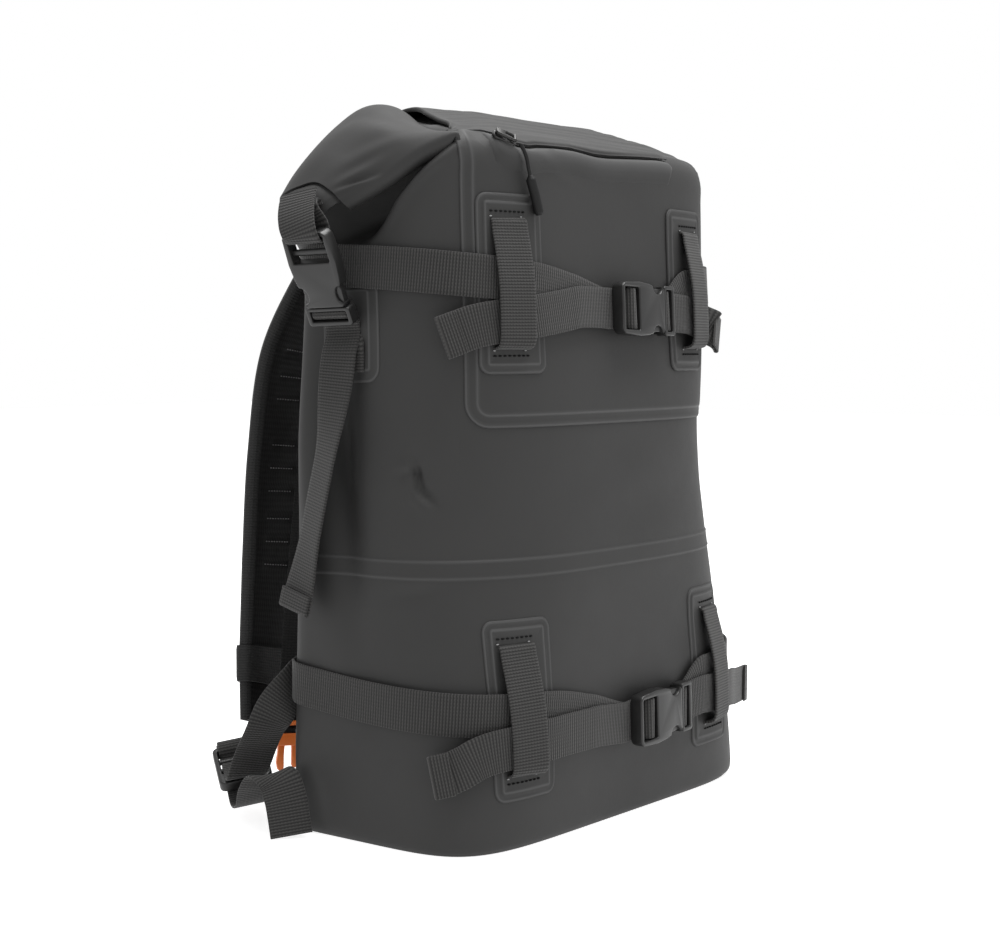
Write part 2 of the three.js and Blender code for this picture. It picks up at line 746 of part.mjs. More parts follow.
// Side closure: the webbing at the ear, its buckle and the strap that comes up from the side
const SIDE_PATCH = { left: -226, right: -182, low: 270, high: 318, corner: 8, lift: PATCH_GAP, thick: 0.8 };
addPair("side_patch", "coated_fabric", plateOnShell({ ...SIDE_PATCH, columns: 4, bodyRows: 3 }));

// A frame whose X runs in a given direction and whose Z looks as near as it can to another
function frameFrom(origin, direction, lookOut) {
  const x = direction.clone().normalize();
  const z = lookOut.clone().addScaledVector(x, -lookOut.dot(x)).normalize();
  const y = z.clone().cross(x);
  return { origin, across: y, matrix: new THREE.Matrix4().makeBasis(x, y, z) };
}

function inFrame(geometry, frame) {
  return geometry.clone().applyMatrix4(frame.matrix.clone().setPosition(frame.origin));
}

const at = (x, y, z) => new THREE.Vector3(x, y, z);
const closure = frameFrom(at(-167, 28, 327), at(0.22, -0.17, -0.96), at(-1, -0.1, 0));
addPair("closure_socket", "black_plastic", inFrame(socket, closure));
addPair("closure_plug", "black_plastic", inFrame(plug, closure));

const earWeb = [
  at(-151, 35, 384),
  at(-157.5, 35, 374),
  at(-162.6, 34.5, 365),
  ...wrapRound(closure, -1),
  placeIn(closure, -36.5, 0, 4),
  placeIn(closure, -39.5, 0, 0.5),
];
addPair("closure_web", "webbing", webbing(earWeb, () => closure.across, WEB));

const closureRows = [
  { s: -204, z: 278, lift: 3.3 },
  { s: -204, z: 284, lift: 3.3 },
  { s: -204, z: 290, lift: 3.8 },
];
const closureTail = [
  at(-166, 24, 280),
  at(-165.5, 31, 240),
  at(-165.5, 38, 200),
  at(-166, 45, 160),
  at(-167, 49, 136),
];
const closurePoints = [...trackOnShell(closureRows, TRACK_STEP), ...wrapRound(closure, 1), ...closureTail];
addPair("closure_strap", "webbing", webbing(closurePoints, () => closure.across, WEB));

// Shoulder strap: middle of the pad from its sewn top to its lower end, with its width and thickness
const PAD_ROWS = [
  { at: 0, x: -57, y: 83.6, z: 397, width: 58, thick: 10 },
  { at: 1, x: -60, y: 93, z: 374, width: 60, thick: 11.5 },
  { at: 2, x: -71, y: 113, z: 336, width: 62, thick: 12 },
  { at: 3, x: -83, y: 133, z: 287, width: 62, thick: 12 },
  { at: 4, x: -90, y: 140, z: 220, width: 60, thick: 12 },
  { at: 5, x: -97, y: 140, z: 150, width: 56, thick: 12 },
  { at: 6, x: -107, y: 136, z: 90, width: 48, thick: 11 },
  { at: 7, x: -117, y: 130, z: 50, width: 36, thick: 9 },
];
const PAD_LEAN = at(1, 0.25, 0);
const padPoints = PAD_ROWS.map(({ x, y, z }) => at(x, y, z));
const padFrames = framesAlong(padPoints, () => PAD_LEAN, 2);

function padProfile(t, more) {
  const { width, thick } = tableAt(PAD_ROWS, "at", t * (PAD_ROWS.length - 1));
  const steps = 10;
  const square = (v) => Math.sign(v) * Math.abs(v) ** 0.55;
  return Array.from({ length: steps }, (_, i) => {
    const angle = (2 * Math.PI * (i + 0.5)) / steps;
    return [square(Math.cos(angle)) * (width / 2 + more), square(Math.sin(angle)) * (thick / 2 + more)];
  });
}
addPair("shoulder_pad", "strap_mesh", sweep(padFrames, (t) => padProfile(t, 0)));

// The keeper is a band round the pad near its lower end
function keeperSolid(from, to) {
  const curve = new THREE.CatmullRomCurve3(padPoints);
  const ring = (t, more) => {
    const origin = curve.getPoint(t);
    const tangent = curve.getTangent(t).normalize();
    const across = PAD_LEAN.clone().addScaledVector(tangent, -PAD_LEAN.dot(tangent)).normalize();
    const out = tangent.clone().cross(across);
    const place = ([x, y]) => origin.clone().addScaledVector(across, x).addScaledVector(out, y);
    return padProfile(t, more).map(place);
  };
  return wallSolid([ring(from, 0.8), ring(to, 0.8)], [ring(to, 2.4), ring(from, 2.4)], null);
}
addPair("pad_keeper", "webbing", keeperSolid(0.87, 0.93));

// Ladder lock under the pad: bars across a frame, lower on the side where the webbing runs over them
const LOCK = { length: 36, width: 33, thick: 7, slot: 26.6 };
const lock = frameFrom(at(-142, 120, 28), at(-0.5, -0.74, -0.44), at(-0.35, -0.2, 0.9));
const halfSlot = LOCK.slot / 2;
const lockBody = slab(
  roundedShape(-LOCK.length / 2, LOCK.length / 2, -LOCK.width / 2, LOCK.width / 2, 4),
  -LOCK.thick / 2,
  LOCK.thick / 2,
  2,
);
const lockCuts = [
  block(-14, -9, -halfSlot, halfSlot, -9, 9),
  block(-5.5, -0.5, -halfSlot, halfSlot, -9, 9),
  block(3.5, 8.5, -halfSlot, halfSlot, -9, 9),
  block(-9.1, 15, -halfSlot, halfSlot, 1.5, 9),
];
addPair("ladder_lock", "black_plastic", inFrame(cutBy(lockBody, ...lockCuts), lock));

// A short tab joins the pad's end to the lock
const LOCK_TAB = [
  { x: -34, z: -9 },
  { x: -26, z: -7 },
  { x: -19, z: -5.2 },
  { x: -13, z: -4.2 },
  { x: -11.4, z: 0 },
  { x: -13, z: 4.6 },
  { x: -20, z: 5 },
  { x: -24, z: 0 },
];
const tabPoints = LOCK_TAB.map(({ x, z }) => placeIn(lock, x, 0, z));
addPair("lock_tab", "webbing", webbing(tabPoints, () => lock.across, WEB));

// The lower webbing comes from the corner of the shell, turns in the lock and curls to the floor as a tail
const LOCK_TURN = [
  { x: 20, z: 8 },
  { x: 12, z: 4.4 },
  { x: 5, z: 3.4 },
  { x: -1.2, z: 2.8 },
  { x: -2.9, z: 0.5 },
  { x: -3.1, z: -2.4 },
  { x: -1.5, z: -5 },
  { x: 3.2, z: -5.9 },
  { x: 12, z: -6 },
  { x: 26, z: -7 },
];
const WEB_SEAT = [
  { s: -298, z: 93, lift: 1.5 },
  { s: -279, z: 89, lift: 3 },
];
const shoulderWeb = [
  ...trackOnShell(WEB_SEAT, TRACK_STEP),
  at(-160, 83, 68),
  at(-158, 94, 46),
  ...LOCK_TURN.map(({ x, z }) => placeIn(lock, x, 0, z)),
  at(-163, 87, 14),
  at(-171, 76, 26),
  at(-173, 66, 35),
  at(-173.5, 57, 34),
  at(-174, 51, 24),
  at(-174, 48, 12),
  at(-174, 46, 2),
];
const lockWidth = lock.across.clone().negate();
const twist = (t) => UP.clone().lerp(lockWidth, THREE.MathUtils.smoothstep(1 - t, 0.09, 0.24));
addPair("shoulder_web", "webbing", webbing(shoulderWeb.reverse(), twist, WEB));

// Chest strap halves hang from the pads; the left one ends in a plug, the right one in a socket
const CHEST_SCALE = CHEST_WEB.width / WEB.width;
const chest = frameFrom(at(-98, 117, 36), at(0.02, 0, 1), at(-0.6, -0.8, 0));
const chestPlug = plug.clone().scale(CHEST_SCALE, CHEST_SCALE, CHEST_SCALE);
const chestSocket = socket.clone().rotateZ(Math.PI).scale(CHEST_SCALE, CHEST_SCALE, CHEST_SCALE);
add("chest_plug_left", "orange_plastic", inFrame(chestPlug, chest));
add("chest_socket_right", "black_plastic", mirrored(inFrame(chestSocket, chest)));
const chestWrap = WRAP.map(({ x, z }) => placeIn(chest, CHEST_SCALE * x, 0, CHEST_SCALE * z));
const chestWeb = [
  at(-67, 127.5, 240),
  at(-75, 124, 200),
  at(-87, 120, 140),
  at(-96, 117, 90),
  ...chestWrap.slice(0, -1),
];
addPair("chest_strap", "webbing", webbing(chestWeb, () => chest.across, CHEST_WEB));

export default bag;
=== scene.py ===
import math

import bmesh
import bpy
import numpy as np
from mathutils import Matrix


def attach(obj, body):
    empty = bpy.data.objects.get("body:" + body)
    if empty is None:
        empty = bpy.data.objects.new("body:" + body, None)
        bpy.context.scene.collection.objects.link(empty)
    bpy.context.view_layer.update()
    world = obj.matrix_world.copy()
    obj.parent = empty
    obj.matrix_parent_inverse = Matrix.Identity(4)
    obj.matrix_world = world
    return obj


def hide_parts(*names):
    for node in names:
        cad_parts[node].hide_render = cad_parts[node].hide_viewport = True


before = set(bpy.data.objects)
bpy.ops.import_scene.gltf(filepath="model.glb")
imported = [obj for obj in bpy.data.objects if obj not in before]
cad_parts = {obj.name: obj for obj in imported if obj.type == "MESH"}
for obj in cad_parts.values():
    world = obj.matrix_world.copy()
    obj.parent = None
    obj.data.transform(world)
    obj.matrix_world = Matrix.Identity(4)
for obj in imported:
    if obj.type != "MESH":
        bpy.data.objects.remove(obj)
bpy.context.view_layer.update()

# Sizes in millimetres: +Z is up, the front faces -Y, the shoulder straps are on +Y, the base is at Z = 0
WEB_WIDTH = 25.0
WEB_THICK = 1.4
CHEST_WIDTH = 20.0
CHEST_SCALE = CHEST_WIDTH / WEB_WIDTH
# Edges of the pocket: distances round the bag from the middle of its front, and heights
POCKET = {"left": -129, "right": 129, "low": 243, "high": 420, "corner": 15}
# Weld band round the body, and its two pressed lines; shine is how strongly those lines carry a painted
# highlight
SEAM = {"low": 156.5, "high": 167.5, "line": 0.7, "shine": 0.6}
SEAM_LINES = (SEAM["low"] + SEAM["line"], SEAM["high"] - SEAM["line"])
# Patches behind the sewn loops: reach from the loop's middle towards the bag's middle and away from it
LOOP_PATCH = {"inner": 27, "outer": 21, "half": 52, "corner": 7, "top": 1.8}
# Edges of the left closure's patch, as those of the pocket
SIDE_PATCH = {"left": -226, "right": -181, "low": 269, "high": 330, "corner": 9}
# Angle in degrees past which an edge of a moulded piece is sharp
HARD_EDGE = 35
BUCKLE = {"half": 29.0, "width": 33.6, "thick": 8.6, "joint": 17.4}
# The rolled mouth, the body's mesh, and the rings of its base as shares of its lowest outline
ROLL = {"y": 35, "width": 42.0, "height": 11.0}
BODY_COLUMNS = 400
FLOOR_SHARES = (0.01, 0.2, 0.5, 0.8, 0.96)
# Horizontal sections of the body: height, half width, front, back, line of greatest width,
# power of the front and back corners, side tuck
SECTIONS = np.array([
    (0, 153.5, -73.5, 73, 36, 6.2, 5, 0),
    (3, 156, -76, 75, 37, 6.2, 5, 0),
    (10, 157, -77, 75.8, 37, 6, 5, 0),
    (80, 156, -77, 76, 37, 4.4, 5, 0),
    (157, 153, -74, 76, 37, 3.4, 5, 0),
    (230, 149, -69, 76, 37, 3.3, 5, 0),
    (300, 146, -63, 76, 37, 4.1, 5, 0),
    (350, 146, -60, 76, 37, 4.3, 5, 1),
    (385, 146, -58, 75.5, 37, 4.5, 5, 14),
    (398, 144, -56.5, 74, 37, 5, 5, 18),
    (407, 140, -53, 70, 37, 5.2, 5, 17),
    (413, 133, -45, 65, 37, 5, 5, 13),
    (418, 112, -32, 60, 36, 4.5, 5, 6),
    (422, 98, -14, 54, 35, 4, 5, 3),
    (425.2, 84, 20, 40, 31, 4, 5, 0),
    (426.4, 80, 27, 33, 30, 4, 4, 0),
], float)
# Where along Y the side tuck lies, and how far it spreads
TUCK_Y = 27.0
TUCK_SPREAD = 34.0
TOP = SECTIONS[-1, 0]


# Plain maths
def smooth(start, end, value):
    """A soft step from 0 at start to 1 at end."""
    t = np.clip((np.asarray(value, float) - start) / (end - start), 0, 1)
    return t * t * (3 - 2 * t)


def bell(value, middle, spread):
    """A soft bump of height 1."""
    return np.exp(-(((value - middle) / spread) ** 2))


def unit(v):
    v = np.asarray(v, float)
    return v / np.linalg.norm(v, axis=-1, keepdims=True)


def signed_power(value, power):
    """A value from -1 to 1 raised to a power, with its sign kept."""
    return np.sign(value) * np.abs(value) ** power


def waves(a, b, scale, seed):
    """Smooth repeatable unevenness from -1 to 1, with lumps about one scale across."""
    rng = np.random.default_rng(seed)
    total = 0.0
    for _ in range(7):
        turn = rng.uniform(0, math.tau)
        pace = rng.uniform(0.6, 1.5) * math.tau / (2 * scale)
        total = total + np.sin(pace * (a * math.cos(turn) + b * math.sin(turn)) + rng.uniform(0, math.tau))
    return total / 3.4


def lengths(line):
    """How far along a line each of its points is."""
    return np.concatenate([[0], np.cumsum(np.linalg.norm(np.diff(line, axis=0), axis=1))])


def share_along(line):
    return lengths(line) / lengths(line)[-1]


def curve(t, span, start, start_slope, end, end_slope):
    """Smooth curves from starts to ends that have the given slopes there."""
    return (
        (2 * t**3 - 3 * t**2 + 1) * start
        + (t**3 - 2 * t**2 + t) * span * start_slope
        + (3 * t**2 - 2 * t**3) * end
        + (t**3 - t**2) * span * end_slope
    )


def spaced(line, step):
    along = lengths(line)
    wanted = np.linspace(0, along[-1], max(int(round(along[-1] / step)), 2) + 1)
    return np.stack([np.interp(wanted, along, line[:, k]) for k in range(line.shape[1])], -1)


def spline(points, step):
    """Points about one step apart on a smooth line through the given ones."""
    p = np.asarray(points, float)
    gaps = np.linalg.norm(np.diff(p, axis=0), axis=1)
    knots = np.concatenate([[0], np.cumsum(np.sqrt(gaps))])
    slopes = np.gradient(p, knots, axis=0)
    fine = np.linspace(0, knots[-1], max(int(gaps.sum() / 0.4), 12))
    i = np.clip(np.searchsorted(knots, fine, side="right") - 1, 0, len(p) - 2)
    span = (knots[i + 1] - knots[i])[:, None]
    t = (fine[:, None] - knots[i][:, None]) / span
    return spaced(curve(t, span, p[i], slopes[i], p[i + 1], slopes[i + 1]), step)


def between(table, place):
    """Smooth values between the rows of a table, at places counted in rows."""
    i = np.clip(np.floor(place), 0, len(table) - 2).astype(int)
    t = (place - i).reshape(-1, *[1] * (table.ndim - 1))
    slopes = np.gradient(table, axis=0)
    return curve(t, 1, table[i], slopes[i], table[i + 1], slopes[i + 1])


# The skin of the body: s runs round the outline from the middle of the front, positive towards +X
def section_at(z):
    """The row of the table of sections that belongs to a height."""
    last = len(SECTIONS) - 1
    i = int(np.clip(np.searchsorted(SECTIONS[:, 0], z, side="right") - 1, 0, last - 1))
    step = SECTIONS[i + 1, 0] - SECTIONS[i, 0]
    t = min(max((z - SECTIONS[i, 0]) / step, 0), 1)

    def slope(k):
        a, b = SECTIONS[max(k - 1, 0)], SECTIONS[min(k + 1, last)]
        return (b - a) / (b[0] - a[0]) * step

    cube = (2 * t - 3) * t * t
    ends = (1 + cube) * SECTIONS[i] - cube * SECTIONS[i + 1]
    return ends + ((t - 2) * t + 1) * t * slope(i) + (t - 1) * t * t * slope(i + 1)


# The skin as a table: rows at these heights, columns at these shares of half the way round
SHARES = np.linspace(0, 1, 401)
HEIGHTS = np.concatenate([np.arange(0, 14, 0.5), np.arange(14, 378, 2), np.arange(378, TOP, 0.4), [TOP]])


def outline(z):
    """The right half of the outline at a height, from the front to the back, and its length."""
    _, half, front, back, line, front_power, back_power, tuck = section_at(z)
    angle = np.linspace(0, math.pi, 361)
    sine, cosine = np.sin(angle), np.cos(angle)
    depth = np.where(cosine > 0, line - front, back - line)
    power = np.where(cosine > 0, front_power, back_power)
    radius = (np.abs(sine / half) ** power + np.abs(cosine / depth) ** power) ** (-1 / power)
    y = line - radius * cosine
    x = radius * sine * (1 - tuck / half * bell(y, TUCK_Y, TUCK_SPREAD))
    along = lengths(np.stack([x, y], -1))
    wanted = SHARES * along[-1]
    return np.interp(wanted, along, x), np.interp(wanted, along, y), along[-1]


OUTLINES = [outline(z) for z in HEIGHTS]
SKIN_X = np.array([row[0] for row in OUTLINES])
SKIN_Y = np.array([row[1] for row in OUTLINES])
HALF_ROUND = np.array([row[2] for row in OUTLINES])


def half_round(z):
    return np.interp(z, HEIGHTS, HALF_ROUND)


def bare(s, z):
    """Points of the even skin."""
    s, z = np.broadcast_arrays(np.asarray(s, float), np.asarray(z, float))
    row = np.clip(np.interp(z, HEIGHTS, np.arange(len(HEIGHTS))), 0, len(HEIGHTS) - 1.0001)
    column = np.clip(np.abs(s) / half_round(z), 0, 1) * (len(SHARES) - 1)
    i = row.astype(int)
    j = np.minimum(column.astype(int), len(SHARES) - 2)
    t, u = row - i, column - j

    def read(table):
        low = (1 - u) * table[i, j] + u * table[i, j + 1]
        high = (1 - u) * table[i + 1, j] + u * table[i + 1, j + 1]
        return (1 - t) * low + t * high

    return np.stack([np.sign(s) * read(SKIN_X), read(SKIN_Y), z], -1)


def directions(s, z):
    """The directions along the outline, up the wall and out of it."""
    s, z = np.broadcast_arrays(np.asarray(s, float), np.asarray(z, float))
    along = unit(bare(s + 1.5, z) - bare(s - 1.5, z))
    up = unit(bare(s, np.minimum(z + 0.8, TOP)) - bare(s, np.maximum(z - 0.8, 0)))
    out = unit(np.cross(along, up))
    return along, np.cross(out, along), out


# Dents and creases of the body: place, slant in degrees, length, width, depth; less than nought is a ridge
DENTS = [
    (-157.5, 216, 100, 9, 2.4, 4.2),
    (-152.5, 205, 135, 8, 3.4, 3.0),
    (-162, 217, 12, 7, 2.6, 1.6),
    (-162, 148, 8, 16, 4.0, 1.0),
    (-132, 234, 100, 12, 4.0, 0.8),
    (-60, 205, 10, 70, 16, 1.0),
    (60, 120, -12, 80, 18, 0.9),
    (10, 190, 4, 90, 14, 0.9),
    (-213, 225, 93, 75, 12, 8.5),
    (205, 235, 87, 75, 11, 3.0),
    (-190, 120, 80, 60, 18, 1.0),
    (190, 130, 95, 60, 18, 1.0),
    (-90, 397, -48, 13, 2.4, -1.3),
    (-62, 396, -20, 26, 3.0, -0.8),
]
# The fold that runs down from an ear: its places on the left
FOLD_S = np.array([-188.0, -166.0, -146.0, -128.0, -118.0])
FOLD_Z = np.array([340.0, 374.0, 392.0, 406.0, 416.0])
# A round stiffener that shows under the cloth of the side
DISC = {"s": -208.0, "z": 216.0, "radius": 8.0}
# Rise of each form of the cloth: tucked in and drawn out beside the ear, along the fold, at the weld
# and over the stiffener
RISE = {"tucked": -20, "drawn": 15, "ridge": 1.4, "band": 0.35, "lines": 0.3, "disc": 0.5}


def behind_fold(s, z):
    """How far a place is behind the fold that runs down from the ear on either side."""
    return np.abs(s) - np.interp(z, FOLD_Z, -FOLD_S)


def grooved(rise, creases, x, y, rim_share, rim_place):
    """A rise less each crease of a table, with a low rim beside every groove."""
    for at_x, at_y, slant, long, wide, deep in creases:
        c, k = math.cos(math.radians(slant)), math.sin(math.radians(slant))
        along = (x - at_x) * c + (y - at_y) * k
        across = (y - at_y) * c - (x - at_x) * k
        groove = bell(across, 0, wide) - rim_share * bell(across, rim_place * wide, wide)
        rise = rise - deep * bell(along, 0, long) * groove
    return rise


def relief(s, z):
    """The rise of the cloth over the even skin."""
    s, z = np.broadcast_arrays(np.asarray(s, float), np.asarray(z, float))
    wall = smooth(0, 40, z) * (1 - smooth(395, 424, z))
    rise = wall * (0.55 * waves(s, z, 90, 3) + 0.22 * waves(s, z, 34, 8))
    rise = grooved(rise, DENTS, s, z, 0.45, 2)
    behind = behind_fold(s, z)
    gusset = smooth(338, 376, z) * (1 - smooth(414, 424, z))
    tucked = smooth(0, 20, behind) * (1 - 0.75 * smooth(26, 52, behind))
    tucked = tucked * (1 - smooth(85, 125, behind)) * gusset
    drawn = smooth(28, 56, behind) * (1 - smooth(80, 115, behind))
    drawn = drawn * smooth(338, 366, z) * (1 - smooth(372, 390, z))
    ridge = bell(behind, -2, 4) * smooth(345, 372, z) * (1 - smooth(408, 418, z))
    low, high = SEAM["low"], SEAM["high"]
    band = smooth(low - 0.5, low + 0.5, z) * (1 - smooth(high - 0.5, high + 0.5, z))
    lines = sum(bell(z, line, SEAM["line"]) for line in SEAM_LINES)
    disc = 1 - smooth(DISC["radius"] - 0.8, DISC["radius"] + 0.8, np.hypot(s - DISC["s"], z - DISC["z"]))
    forms = {"tucked": tucked, "drawn": drawn, "ridge": ridge, "band": band, "lines": lines, "disc": disc}
    for name, form in forms.items():
        rise = rise + RISE[name] * form
    return rise


def on_skin(s, z, lift=0.0):
    """Points of the skin with its dents and creases."""
    return bare(s, z) + directions(s, z)[2] * (np.asarray(lift, float) + relief(s, z))[..., None]


# Meshes are kept as lists of points, faces and flat places until a piece is made of them
def flat_grid(across, along):
    """Flat places of a grid from distances across it and along it."""
    return np.stack(np.broadcast_arrays(across, along[:, None]), -1)


def wrapped(grid, flat, closed=False, cap=False):
    """A part from a grid of points; closed joins its last column to its first, cap closes both ends."""
    rows, columns = grid.shape[:2]
    index = np.arange(rows * columns).reshape(rows, columns)
    right = np.roll(index, -1, axis=1) if closed else index[:, 1:]
    left = index if closed else index[:, :-1]
    quads = np.stack([left[:-1], right[:-1], right[1:], left[1:]], -1).reshape(-1, 4)
    faces = quads.tolist()
    if cap:
        faces.append(index[0][::-1].tolist())
        faces.append(index[-1].tolist())
    return grid.reshape(-1, 3), faces, flat.reshape(-1, 2)


def slab(top, thick):
    """A closed sheet of even thickness under a grid of points, with its flat places."""
    inwards = unit(np.cross(np.gradient(top, axis=0), np.gradient(top, axis=1)))
    low = top + inwards * thick
    grid = np.concatenate([top, low[:, ::-1]], axis=1)
    middle = top.shape[1] // 2
    across = lengths(top[top.shape[0] // 2])
    across = np.concatenate([across, across[::-1]])
    points, faces, places = wrapped(grid, flat_grid(across, lengths(top[:, middle])), closed=True)
    rows, columns = grid.shape[:2]
    for row in (0, rows - 1):
        start = row * columns
        for j in range(columns // 2 - 1):
            faces.append([start + j, start + j + 1, start + columns - 2 - j, start + columns - 1 - j])
    return points, faces, places


def mirrored(parts):
    return [(points * (-1, 1, 1), [face[::-1] for face in faces], flat) for points, faces, flat in parts]


def mesh_of(name, parts, sharp=None):
    points = np.concatenate([part[0] for part in parts])
    flat = np.concatenate([part[2] for part in parts])
    faces = []
    start = 0
    for part in parts:
        faces += [[start + i for i in face] for face in part[1]]
        start += len(part[0])
    mesh = bpy.data.meshes.new(name)
    mesh.from_pydata((points * 0.001).tolist(), [], faces)
    layer = mesh.uv_layers.new(name="flat")
    corners = np.empty(len(mesh.loops), int)
    mesh.loops.foreach_get("vertex_index", corners)
    layer.data.foreach_set("uv", (flat[corners] * 0.001).ravel())
    work = bmesh.new()
    work.from_mesh(mesh)
    bmesh.ops.remove_doubles(work, verts=work.verts, dist=1e-6)
    bmesh.ops.recalc_face_normals(work, faces=work.faces)
    work.to_mesh(mesh)
    work.free()
    mesh.shade_smooth()
    if sharp:
        mesh.set_sharp_from_angle(angle=math.radians(sharp))
    return mesh


def piece(name, parts, material, replaces=(), sharp=50):
    """A visible piece of the bag; replaces names the nodes of the part that it stands in for."""
    obj = bpy.data.objects.new(name, mesh_of(name, parts, sharp))
    obj.data.materials.append(material)
    bpy.context.scene.collection.objects.link(obj)
    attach(obj, "root")
    if replaces:
        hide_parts(*replaces)
    return obj


def both_sides(name, parts, material, nodes, sharp=50):
    """A left and a right piece; the right one is the mirror of the left."""
    made = []
    for side, own in (("left", parts), ("right", mirrored(parts))):
        own_nodes = [f"{node}_{side}" for node in nodes]
        made.append(piece(f"{name}_{side}", own, material, own_nodes, sharp))
    return made


# Painted highlights: pale base colour along welds and the lower zip lip, in place of the light they catch
def flat_places(obj):
    """Where each face corner of a piece lies, in its flat places."""
    uv = np.empty(len(obj.data.loops) * 2)
    obj.data.uv_layers["flat"].data.foreach_get("uv", uv)
    return uv.reshape(-1, 2) * 1000


def paint_weld_highlights(obj, shine):
    """Tells the finish of the cloth how much painted highlight each face corner gets."""
    obj.data.attributes.new("weld_highlight", "FLOAT", "CORNER").data.foreach_set("value", shine)


# Half width of a painted highlight line
RIM_HIGHLIGHT_HALF_WIDTH = 0.7


def paint_rim_highlights(obj, left, right, low, high, corner, insets):
    """Painted highlight lines along the edge of a welded patch, at the given insets."""
    middle = np.array([left + right, low + high]) / 2
    half = np.array([right - left, high - low]) / 2 - corner
    beyond = np.abs(flat_places(obj) - middle) - half
    inset = corner - np.linalg.norm(np.maximum(beyond, 0), axis=1) - np.minimum(beyond.max(axis=1), 0)
    paint_weld_highlights(obj, sum(bell(inset, place, RIM_HIGHLIGHT_HALF_WIDTH) for place in insets))


# Ribbons
def ribbon_frames(line, width_near):
    """Directions along a ribbon, across it and out of it."""
    along = unit(np.gradient(line, axis=0))
    near = np.broadcast_to(np.asarray(width_near, float), line.shape)
    across = unit(near - along * (near * along).sum(-1, keepdims=True))
    return along, across, np.cross(along, across)


def ribbon(line, width_near, width=WEB_WIDTH, thick=WEB_THICK):
    """A woven ribbon with soft edges along a fine line of points."""
    _, across, out = ribbon_frames(line, width_near)
    half, r = width / 2, thick / 2
    flat = np.linspace(-half + r, half - r, 9)
    turn = np.linspace(90, -90, 5)[1:-1]
    edge_x, edge_y = half - r + r * np.cos(np.radians(turn)), r * np.sin(np.radians(turn))
    x = np.concatenate([flat, edge_x, flat[::-1], -edge_x[::-1]])
    y = np.concatenate([np.full(9, r), edge_y, np.full(9, -r), edge_y[::-1]])
    grid = line[:, None] + across[:, None] * x[None, :, None] + out[:, None] * y[None, :, None]
    return wrapped(grid, flat_grid(x, lengths(line)), closed=True, cap=True)


def fold_back(line, width_near, side, length=10.0, radius=1.0):
    """A ribbon's line with its end turned back flat towards side, and its width direction all along."""
    _, across, _ = ribbon_frames(line, width_near)
    along = unit(line[-1] - line[-3])
    last = unit(across[-1] - along * np.dot(across[-1], along))
    out = np.cross(along, last)
    out = out if np.dot(out, side) > 0 else -out
    angles = np.radians(np.arange(20, 181, 20))
    turn = [line[-1] + along * radius * math.sin(a) + out * radius * (1 - math.cos(a)) for a in angles]
    back = [turn[-1] - along * d for d in np.arange(1.5, length, 1.5)]
    near = np.concatenate([across, np.broadcast_to(last, (len(turn) + len(back), 3))])
    return np.concatenate([line, turn, back]), near


def over_even_skin(rows):
    """Points from rows of place on the skin and lift, with no dents or creases."""
    s, z, lift = np.asarray(rows, float).T
    return bare(s, z) + directions(s, z)[2] * lift[:, None]


def plain_track(rows, step=8.0):
    return over_even_skin(spline(rows, step))


def tube(line, radii, sides=12):
    _, across, out = ribbon_frames(line, (1, 0, 0))
    angle = np.linspace(0, math.tau, sides, endpoint=False)
    spoke = across[:, None] * np.cos(angle)[None, :, None] + out[:, None] * np.sin(angle)[None, :, None]
    grid = line[:, None] + spoke * np.asarray(radii, float)[:, None, None]
    return wrapped(grid, flat_grid(angle * 2, lengths(line)), closed=True, cap=True)


# Welded patches: rounded outlines that step inwards, each ring with its own lift;
# their points lie about this far apart
PATCH_PITCH = 4.0


def rounded_ring(left, right, low, high, corner, inset):
    a, b, c, d = left + inset, right - inset, low + inset, high - inset
    r = min(max(corner - inset, 0.02), (b - a) / 2, (d - c) / 2)
    counts = [max(int(side / PATCH_PITCH), 2) for side in (right - left, high - low)]
    points = []
    corners = [(b - r, d - r, 0), (a + r, d - r, 90), (a + r, c + r, 180), (b - r, c + r, 270)]
    for k, (x, z, start) in enumerate(corners):
        arc = np.radians(np.linspace(start, start + 90, 7))
        points += [(x + r * math.cos(t), z + r * math.sin(t)) for t in arc]
        nx, nz, ns = corners[(k + 1) % 4]
        end = np.array([nx + r * math.cos(math.radians(ns)), nz + r * math.sin(math.radians(ns))])
        begin = np.array(points[-1])
        points += [tuple(begin + (end - begin) * i / counts[k % 2]) for i in range(1, counts[k % 2])]
    return np.array(points)


def patch(left, right, low, high, corner, steps, ground=0.0):
    """A thin closed plate on the skin from rows of inset and lift; both faces close on its middle line."""
    deepest = min(right - left, high - low) / 2 - 0.02
    inside = np.arange(steps[-1][0] + PATCH_PITCH, deepest - PATCH_PITCH / 2, PATCH_PITCH)
    top = [*steps, *[(d, steps[-1][1]) for d in inside], (deepest, steps[-1][1])]
    rows = [(deepest, -0.7), (0, -0.6), *top]
    flat = np.stack([rounded_ring(left, right, low, high, corner, inset) for inset, _ in rows])
    axis, middle = (1, (low + high) / 2) if right - left > high - low else (0, (left + right) / 2)
    flat[0, :, axis] = middle
    flat[-1, :, axis] = middle
    heights = ground + np.array([lift for _, lift in rows])[:, None]
    grid = on_skin(flat[..., 0], flat[..., 1], np.broadcast_to(heights, flat.shape[:2]))
    return wrapped(grid, flat, closed=True)


# Frames of their own for hardware
def frame_on_skin(s, z, lift, turn):
    """Origin and axes of a frame that lies on the skin, turned in its plane."""
    along, up, out = directions(s, z)
    c, k = math.cos(turn), math.sin(turn)
    axes = np.array([along * c + up * k, up * c - along * k, out])
    return bare(s, z) + out * lift, axes


def frame_from(origin, direction, look_out):
    """Origin and axes of a frame with X along a direction and Z outwards."""
    x = unit(direction)
    look = np.asarray(look_out, float)
    z = unit(look - x * np.dot(look, x))
    return np.asarray(origin, float), np.array([x, np.cross(z, x), z])


def put(place, points):
    """Points given in a frame of their own, in the frame of the part."""
    origin, axes = place
    return origin + np.asarray(points, float) @ axes


